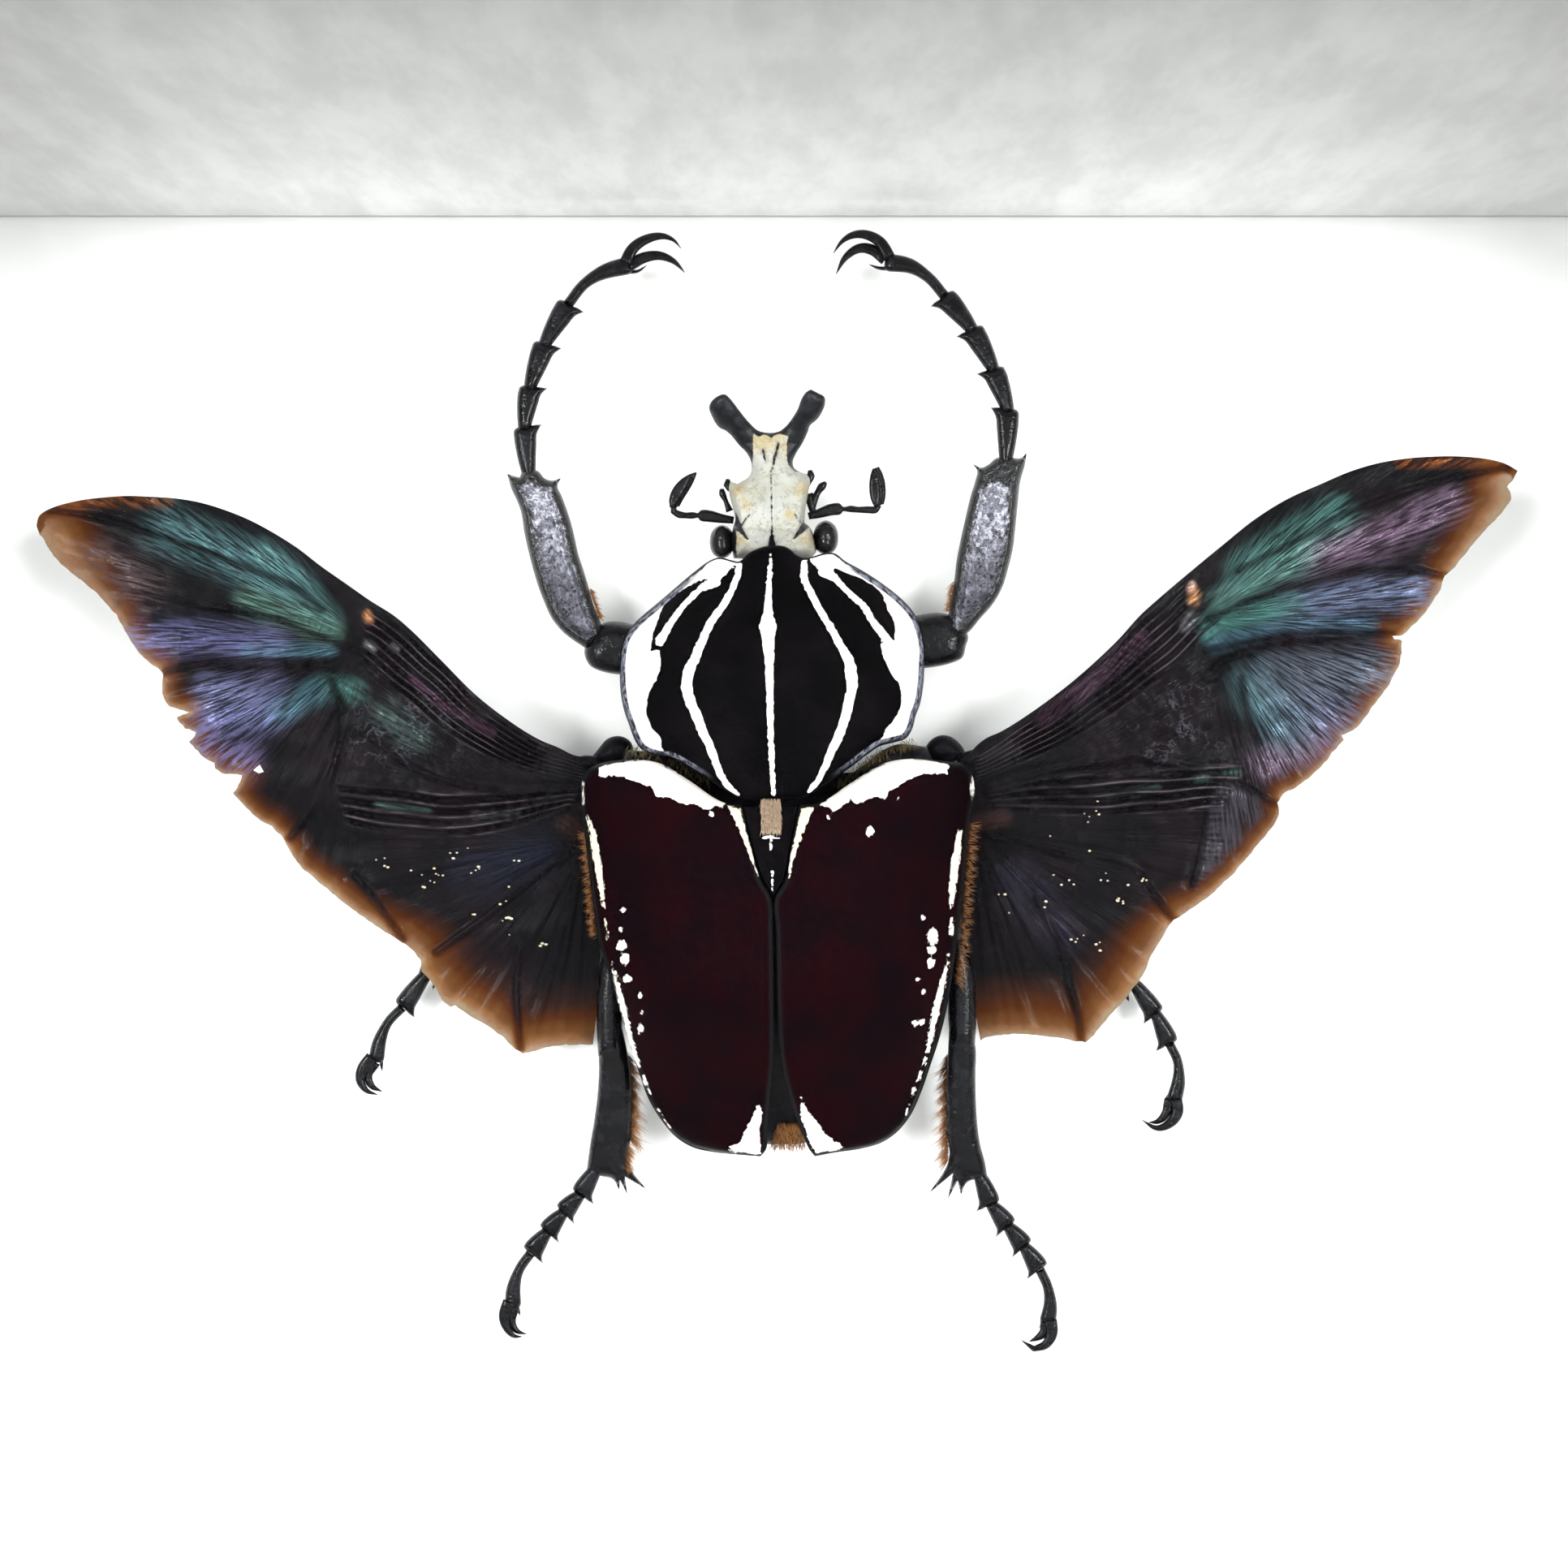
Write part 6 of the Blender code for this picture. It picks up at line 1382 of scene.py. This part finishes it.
def make_wing(name, data, finish):
    side = -1.0 if name.endswith("left") else 1.0
    leading = curve(data["leading"], 0.45)
    outer = curve(data["outer"], 0.45, corner=30)
    torn = np.column_stack((lumps(outer, 0.9, 6.0), lumps(outer, 0.7, 8.0)))
    outer = outer + torn * 0.16
    outline = np.vstack((leading, outer, curve(data["root"], 0.6)))
    holes = [data["hole"]] if "hole" in data else []
    places, faces, inner = sheet(outline, 0.29, holes=holes)
    rays = wing_rays(places, data, side)
    relief = np.clip(wing_relief(places, data, rays), -0.7, 0.9)
    relief *= 0.25 + 0.75 * ease(inner, 0.0, 0.8)
    curl = 0.5 * lumps(places, 3.2, 3.0) * np.exp(-(gap_to(places, outer) / 1.6) ** 2)
    level = wing_height(places) + relief + curl
    out = np.abs(places[:, 0])
    costa = np.clip(1.0 - gap_to(places, leading) / 1.2, 0.0, 1.0) ** 0.5
    thick = 0.10 + costa * (0.9 - 0.7 * out / out.max())

    def layers(points):
        base = points[:len(points) // 2, :2]
        found = wing_layers(base, data, outer, leading, rays)
        return {key: np.concatenate((value, value)) for key, value in found.items()}

    piece(name + "_membrane", [close(places, faces, level + thick / 2, level - thick / 2)],
          finish, "wing_membrane", [name], layers, smooth=80.0)


def make_wings():
    finish = wing_finish()
    dust = []
    for name, data in WINGS.items():
        make_wing(name, data, finish)
        for u, v in data["dust"]:
            dust += speckle(u, v, wing_height(np.array([(u, v)]))[0] + 0.45)
    make_dust(dust)


def speckle(u, v, h):
    """A few cream grains scattered about a place."""
    return [(u + random.gauss(0, 0.45), v + random.gauss(0, 0.45), h,
             random.uniform(0.07, 0.17)) for _ in range(random.randint(1, 4))]


def make_dust(grains):
    ball = bmesh.new()
    bmesh.ops.create_icosphere(ball, subdivisions=2, radius=1.0)
    points = np.array([tuple(vert.co) for vert in ball.verts])
    faces = [tuple(vert.index for vert in face.verts) for face in ball.faces]
    ball.free()
    parts = []
    for u, v, h, size in grains:
        rough = np.array([1.0 + 0.5 * noise.noise(Vector(p) * 1.7 + Vector((u, v, 0)))
                          for p in points])
        parts.append((points * rough[:, None] * size * (1.3, 0.9, 0.8) + (u, v, h), faces))
    made, shader, tree = material("wing_dust")
    dress(tree, shader, blend(tree, grain(tree, 0.0004), (0.75, 0.68, 0.50),
                              (0.55, 0.45, 0.30)), 0.8)
    piece("wing_dust", parts, made, "wing_membrane")


def abdomen():
    """The body under the wing cases: rings of points along it, and their faces."""
    stations = np.array(ABDOMEN)[::-1]
    rows = np.linspace(ABDOMEN[-1][0], ABDOMEN[0][0], 90)
    turns = np.linspace(0.0, 2 * math.pi, 56, endpoint=False)
    points = []
    for v in rows:
        inset, below = (np.interp(v, stations[:, 0], stations[:, k]) for k in (1, 2))
        band = 0.16 * math.sin(v * 1.05) * float(ease(-v, 10.0, 16.0))
        wide = half_width(v) - inset + band
        top = case_height(np.array([(middle(v), v)]))[0] - below
        belly = 0.45 + 2.2 * ease(-v, 36.0, 45.0) + 3.0 * ease(v, -5.0, 2.0)
        waist = 9.0 - 1.5 * ease(-v, 36.0, 45.0)
        for angle in turns:
            rise = math.sin(angle)
            if rise >= 0:
                h = waist + (top - waist) * rise
            else:
                h = waist - (waist - belly) * abs(rise) ** 0.6
            points.append((middle(v) + wide * math.cos(angle), v, h))
    return np.array(points), tube(len(rows), len(turns))


def tube(rings, count):
    """Faces of a closed tube of rings with count points each."""
    faces = [tuple(range(count)), tuple(range((rings - 1) * count, rings * count))[::-1]]
    for i in range(rings - 1):
        for k in range(count):
            a, b = i * count + k, i * count + (k + 1) % count
            faces.append((a, a + count, b + count, b))
    return faces


def make_body(black):
    """Thorax and abdomen under the wing cases, the shoulder lobes and the wing roots."""
    parts = [abdomen()] + [pillow(outline, 0.3, h, half, 1.6) for outline, h, half in LOBES]
    piece("body_chitin", parts, black, "beetle_black", ["body"])


def hairs(name, roots, finish):
    """Tapered bent hairs from (root, direction, length, width) in sheet millimetres."""
    points, faces, along = [], [], []
    for root, direction, length, width in roots:
        root, direction = np.array(root, float), np.array(direction, float)
        direction /= np.linalg.norm(direction)
        bend = np.array([random.gauss(0, 1) for _ in range(3)])
        bend -= direction * (bend @ direction)
        bend *= 0.22 * length / max(np.linalg.norm(bend), 1e-6)
        side = np.cross(direction, (0.3, 0.2, 1.0))
        side /= np.linalg.norm(side)
        other = np.cross(direction, side)
        start = len(points)
        for t, thick in ((0.0, 1.0), (0.45, 0.8), (1.0, 0.12)):
            centre = root + direction * length * t + bend * t * t
            for k in range(3):
                angle = 2 * math.pi * k / 3
                points.append(centre + (side * math.cos(angle) + other * math.sin(angle))
                              * width * thick / 2)
                along.append(t)
        for ring in (0, 3):
            for k in range(3):
                a, b = start + ring + k, start + ring + (k + 1) % 3
                faces.append((a, b, b + 3, a + 3))
        faces += [(start + 2, start + 1, start), (start + 6, start + 7, start + 8)]
    piece(name, [(np.array(points), faces)], finish, "beetle_black",
          layers=lambda _: {"along": along}, smooth=180.0)


def along_line(line, count, wander):
    """Random places near a line, spread evenly along it."""
    path = curve(line, 0.2)
    found = []
    for i in range(count):
        spot = path[min(int((i + random.random()) / count * len(path)), len(path) - 1)]
        found.append(spot + np.array((random.gauss(0, wander), random.gauss(0, wander))))
    return found


def case_fringe():
    """Tufts that stand out from under the outer edges of the wing cases."""
    roots = []
    for line in CASE_FRINGES:
        side = -1.0 if line[0][0] < 0 else 1.0
        for u, v in along_line(line, 420, 0.12):
            tuft = 0.5 + 0.5 * math.sin(v * 4.8)
            length = (0.65 + 0.95 * tuft) * (1.0 if side > 0 else 0.8)
            roots.append(((u - side * 0.2, v, 11.6 + random.uniform(-0.5, 0.5)),
                          (side * 0.9, -0.35 + random.gauss(0, 0.25), random.gauss(0, 0.3)),
                          length, 0.07))
    return roots


def hind_shin_fringe():
    roots = []
    for line, side, reach in HIND_SHIN_FRINGES:
        count = int(52 * abs(line[-1][1] - line[0][1]))
        for u, v in along_line(line, count, 0.12):
            length = reach * random.uniform(0.45, 1.0) * (0.75 + 0.25 * math.sin(v * 3.6))
            roots.append(((u - side * 0.1, v, 5.8 + random.uniform(-0.8, 0.8)),
                          (side * 0.62, -0.75 + random.gauss(0, 0.14),
                           random.gauss(0, 0.22)), length, 0.075))
    return roots


def fore_shin_fringe():
    roots = []
    for line, side in FORE_SHIN_FRINGES:
        for u, v in along_line(line, 150, 0.08):
            roots.append(((u, v, 6.2 + random.uniform(-0.7, 0.7)),
                          (side * 0.8, -0.7 + random.gauss(0, 0.2), random.gauss(0, 0.3)),
                          random.uniform(0.5, 1.1), 0.07))
    return roots


def abdomen_tip_hairs():
    roots = []
    for _ in range(700):
        v = random.uniform(-44.7, -41.6)
        u = 0.5 + random.uniform(-1.0, 1.0) * (1.0 + 0.35 * (-41.0 - v))
        below = np.interp(-v, (40.5, 42.8, 44.4), (3.3, 3.7, 4.5))
        h = case_height(np.array([(u, v)]))[0] - below
        roots.append(((u, v, h), (random.gauss(0, 0.25), -0.9, 0.25),
                      random.uniform(0.5, 1.3), 0.07))
    return roots


def scutellum_tuft():
    roots = []
    for _ in range(900):
        u, v = random.uniform(-2.8, -0.4), random.uniform(-5.6, -1.8)
        h = case_height(np.array([(u, v)]))[0] + random.uniform(-0.15, 0.10)
        roots.append(((u, v, h), (random.gauss(0, 0.10), -1.0, 0.06),
                      random.uniform(0.6, 1.1), 0.10))
    return roots


def pronotum_down():
    """Down between the back edge of the pronotum and the wing cases."""
    roots = []
    for line, away in PRONOTUM_DOWN:
        for u, v in along_line(line, 620, 0.35):
            roots.append(((u, v - 0.3, 15.6 + random.uniform(-1.4, 1.2)),
                          (away + random.gauss(0, 0.4), -1.0, random.gauss(0.2, 0.3)),
                          random.uniform(0.7, 1.7), 0.06))
    return roots


def make_hairs():
    golden = hair_finish("golden_hair", (0.15, 0.050, 0.012), (0.40, 0.17, 0.050))
    straw = hair_finish("straw_hair", (0.07, 0.048, 0.014), (0.22, 0.165, 0.060))
    tan = hair_finish("tan_hair", (0.34, 0.24, 0.165), (0.52, 0.40, 0.29))
    fringes = case_fringe() + hind_shin_fringe() + fore_shin_fringe() + abdomen_tip_hairs()
    hairs("golden_fringes", fringes, golden)
    hairs("tan_tuft", scutellum_tuft(), tan)
    hairs("straw_down", pronotum_down(), straw)


def make_beetle():
    black = cuticle_finish()
    make_body(cuticle_finish("body_cuticle", (0.0012, 0.0010, 0.0014), 0.35, 0.05))
    make_wings()
    make_legs(black)
    make_elytra()
    make_scutellum()
    make_pronotum()
    make_head(black)
    make_antennae(black)
    make_hairs()


def card_finish(name, shade, cloud_depth, painted_shade_liner=False):
    """Matt card with soft clouds; the shaded one has painted shade, darker towards the glass and
    the corners.
    """
    made, shader, tree = material(name)
    place_of = put(tree, "TexCoord").outputs["Object"]
    clouds = grain(tree, 0.0055, 4.0 if painted_shade_liner else 1.0, 0.65, place_of, (1.0, 0.45, 1.0))
    tone = span(tree, clouds, 0.3, 0.7, 1.0 - cloud_depth, 1.0)
    if painted_shade_liner:
        axes = put(tree, "SeparateXYZ", {0: place_of}).outputs
        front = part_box("liner_top")[0][1]
        # Painted shade: the liner is painted darker towards the glass
        glass_shade = span(tree, axes[1], front, BOARD_FRONT, 0.52, 1.0, smooth=False)
        # Painted shade: the liner is painted darker towards the corners of the box
        side = span(tree, math_node(tree, "ABSOLUTE", axes[0]), 0.045, 0.105, 1.0, 0.78)
        tone = times(tree, times(tree, tone, glass_shade), side)
    dress(tree, shader, blend(tree, tone, (0.0, 0.0, 0.0), shade), 0.9, 0.15)
    return made


def wood_finish(name, stretch):
    """Black-stained wood: open pores and grain along the rail, brown where edges are worn."""
    made, shader, tree = material(name)
    bands = grain(tree, 0.0018, 6.0, 0.62, stretch=stretch)
    pores = span(tree, grain(tree, 0.00045, 3.0, 0.5, stretch=stretch), 0.58, 0.70)
    stain = blend(tree, span(tree, bands, 0.35, 0.7), (0.008, 0.0065, 0.0055),
                  (0.030, 0.022, 0.018))
    stain = blend(tree, pores, stain, (0.006, 0.005, 0.0045))
    edges = put(tree, "NewGeometry").outputs["Pointiness"]
    worn = times(tree, span(tree, edges, 0.57, 0.66), mottle(tree, 0.004, 4.0, 0.7, 0.5, 0.7))
    shader.inputs["Coat Weight"].default_value = 0.05
    shader.inputs["Coat Roughness"].default_value = 0.35
    under = bump(tree, bands, 0.00015, 0.5)
    dress(tree, shader, blend(tree, worn, stain, (0.16, 0.09, 0.05)),
          span(tree, bands, 0.3, 0.7, 0.34, 0.52), 0.25,
          bump(tree, pores, 0.00012, -0.6, under))
    return made


def steel_finish():
    made, shader, tree = material("zinc_plated_steel")
    scratch = grain(tree, 0.0004, 4.0, 0.6, stretch=(1.0, 1.0, 0.08))
    shader.inputs["Metallic"].default_value = 1.0
    dress(tree, shader,
          blend(tree, grain(tree, 0.003, 4.0), (0.62, 0.60, 0.55), (0.45, 0.43, 0.38)),
          span(tree, scratch, 0.3, 0.7, 0.24, 0.44), normal=bump(tree, scratch, 0.00003, 0.6))
    return made


def hardboard_finish():
    made, shader, tree = material("hardboard")
    fibre = grain(tree, 0.0009, 5.0, 0.7)
    shade = blend(tree, mottle(tree, 0.010, 5.0, 0.65, 0.3, 0.7), (0.150, 0.082, 0.045),
                  (0.180, 0.102, 0.057))
    flecks = span(tree, fibre, 0.58, 0.74, 0.0, 0.6)
    dress(tree, shader, blend(tree, flecks, shade, (0.085, 0.043, 0.022)),
          span(tree, fibre, 0.3, 0.7, 0.55, 0.75), normal=bump(tree, fibre, 0.0001, 0.5))
    return made


def glass_finish():
    """Thin coated picture glass: a little mirror over clear."""
    made, shader, tree = material("picture_glass")
    tree.nodes.remove(shader)
    clear = put(tree, "BsdfTransparent", {"Color": (0.985, 0.995, 0.99)})
    mirror = put(tree, "BsdfGlossy", {"Color": (1.0, 1.0, 1.0), "Roughness": 0.02})
    glance = put(tree, "Fresnel", {"IOR": 1.05})
    mixed = put(tree, "MixShader", {0: glance.outputs[0], 1: clear.outputs[0],
                                    2: mirror.outputs[0]})
    tree.links.new(mixed.outputs[0], tree.nodes["Material Output"].inputs["Surface"])
    return made


def board(name, node, finish, slot, edge=0.0004):
    """A cut board in place of its plain solid, with rounded edges."""
    low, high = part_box(node)
    mesh = bpy.data.meshes.new(name)
    shape = bmesh.new()
    bmesh.ops.create_cube(shape, size=1.0)
    for vert in shape.verts:
        vert.co = Vector([low[i] if vert.co[i] < 0 else high[i] for i in range(3)])
    bmesh.ops.bevel(shape, geom=shape.edges[:], offset=edge, segments=3, affect="EDGES",
                    profile=0.5)
    hand_over(shape, mesh)
    mesh.materials.append(finish)
    return place(name, mesh, slot, [node], smooth=30.0)


def hand_over(shape, mesh):
    """Turns the faces of a bmesh outwards, writes it to a mesh and frees it."""
    bmesh.ops.recalc_face_normals(shape, faces=shape.faces)
    shape.to_mesh(mesh)
    shape.free()


def rail_section(front, back):
    """A rail's section: (metres in from the outside, y), with rounded front edges."""
    lip_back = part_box("glass_pane")[0][1] - LIP_GAP
    section = [(0.0, back)]
    for radius, inward, start in ((OUTER_RADIUS, OUTER_RADIUS, 180.0),
                                  (INNER_RADIUS, LIP_REACH - INNER_RADIUS, 270.0)):
        for k in range(7):
            angle = math.radians(start + 15.0 * k)
            section.append((inward + radius * math.cos(angle),
                            front + radius + radius * math.sin(angle)))
    return section + [(LIP_REACH, lip_back), (WALL, lip_back), (WALL, back)]


def rail_points(section, turn, half, drop, middle_height):
    """The section swept along one side of the box, mitred at both ends."""
    cos, sin = math.cos(turn * math.pi / 2), math.sin(turn * math.pi / 2)
    points = []
    for s in range(RAIL_SLICES):
        for inward, y in section:
            x = (2.0 * s / (RAIL_SLICES - 1) - 1.0) * (half - inward - MITRE_GAP)
            z = inward - drop
            points.append((x * cos - z * sin, y, x * sin + z * cos + middle_height))
    return points


def make_rails():
    """The four rails with rounded edges, mitred at the corners."""
    (left, _, bottom), (right, _, top) = CAD_BOX
    front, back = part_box("rail_top")[0][1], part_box("rail_top")[1][1]
    halves = ((right - left) / 2, (top - bottom) / 2)
    section = rail_section(front, back)
    for turn, name in enumerate(("rail_bottom", "rail_right", "rail_top", "rail_left")):
        upright = turn % 2
        points = rail_points(section, turn, halves[upright], halves[1 - upright], halves[1])
        mesh = bpy.data.meshes.new(name + "_wood")
        mesh.from_pydata(points, [], tube(RAIL_SLICES, len(section)))
        shape = bmesh.new()
        shape.from_mesh(mesh)
        hand_over(shape, mesh)
        stretch = (1.0, 1.0, 0.05) if upright else (0.05, 1.0, 1.0)
        mesh.materials.append(wood_finish("stained_wood_" + name, stretch))
        place(name + "_wood", mesh, "case_wood", [name], smooth=35.0)


def make_fixings():
    """Finishes for the turn buttons and the hanger on the back."""
    steel = steel_finish()
    for name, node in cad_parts.items():
        if name.startswith("turn_button") or name == "sawtooth_hanger":
            node.data.materials.clear()
            node.data.materials.append(steel)


def make_case():
    make_rails()
    # The liners are card with painted shade, darker towards the glass and the corners
    card = card_finish("liner_card", (0.96, 0.958, 0.956), 0.15, painted_shade_liner=True)
    white = card_finish("mount_board", (0.94, 0.94, 0.935), 0.03)
    for name in ("liner_top", "liner_bottom", "liner_left", "liner_right"):
        board(name + "_card", name, card, "liner_card")
    board("backing_board_card", "backing_board", white, "white_board")
    board("back_panel_board", "back_panel", hardboard_finish(), "brown_board", 0.0006)
    pane = board("glass_pane_clear", "glass_pane", glass_finish(), "clear_glass", 0.0003)
    pane.visible_shadow = False
    pane.visible_diffuse = False
    make_fixings()


def area_light(name, location, target, size, power):
    light = bpy.data.lights.new(name, "AREA")
    light.shape = "RECTANGLE"
    light.size, light.size_y = size
    light.energy = power
    made = bpy.data.objects.new(name, light)
    made.location = location
    made.rotation_euler = (Vector(target) - Vector(location)).to_track_quat("-Z", "Y").to_euler()
    bpy.context.scene.collection.objects.link(made)


def make_floor():
    mesh = bpy.data.meshes.new("studio_floor")
    corners = [(-1, -1), (1, -1), (1, 1), (-1, 1)]
    mesh.from_pydata([(x * FLOOR_HALF, y * FLOOR_HALF, 0) for x, y in corners], [],
                     [(0, 1, 2, 3)])
    made, shader, tree = material("pale_floor")
    dress(tree, shader,
          blend(tree, grain(tree, 0.05, 3.0), (0.84, 0.84, 0.83), (0.80, 0.80, 0.79)), 0.85)
    mesh.materials.append(made)
    floor = bpy.data.objects.new("studio_floor", mesh)
    bpy.context.scene.collection.objects.link(floor)


def make_camera(scene):
    """The photo's view: straight at the board, as wide as the photo is there."""
    camera = bpy.data.cameras.new("photo_camera")
    camera.sensor_width = SENSOR_WIDTH
    camera.lens = SENSOR_WIDTH * EYE_DISTANCE / PHOTO_WIDTH_AT_BOARD
    camera.clip_start = 0.005
    eye = bpy.data.objects.new("photo_camera", camera)
    eye.location = (0.0, BOARD_FRONT - EYE_DISTANCE, EYE_HEIGHT)
    eye.rotation_euler = (math.pi / 2, 0.0, 0.0)
    scene.collection.objects.link(eye)
    scene.camera = eye


def make_studio():
    scene = bpy.context.scene
    scene.world = bpy.data.worlds.new("studio_world")
    scene.world.use_nodes = True
    sky = scene.world.node_tree.nodes["Background"].inputs
    sky["Color"].default_value = (1.0, 1.0, 1.0, 1.0)
    sky["Strength"].default_value = WORLD_STRENGTH
    target = (0.0, BOARD_FRONT, EYE_HEIGHT)
    # The two large softboxes stand wide enough to stay out of the mirror of the pane
    area_light("left_softbox", (-1.55, -2.1, 0.34), target, (0.8, 0.6), SOFTBOX_POWER)
    area_light("right_softbox", (1.55, -2.1, 0.30), target, (0.8, 0.6), SOFTBOX_POWER)
    area_light("back_softbox", (0.9, 1.0, 0.9), (0.0, 0.0, 0.1), (0.9, 0.9), 10.0)
    make_floor()
    make_camera(scene)
    scene.view_settings.view_transform = "Standard"
    scene.cycles.max_bounces = 6
    scene.cycles.diffuse_bounces = 2
    scene.cycles.glossy_bounces = 2


random.seed(SEED)
make_case()
make_beetle()
make_studio()
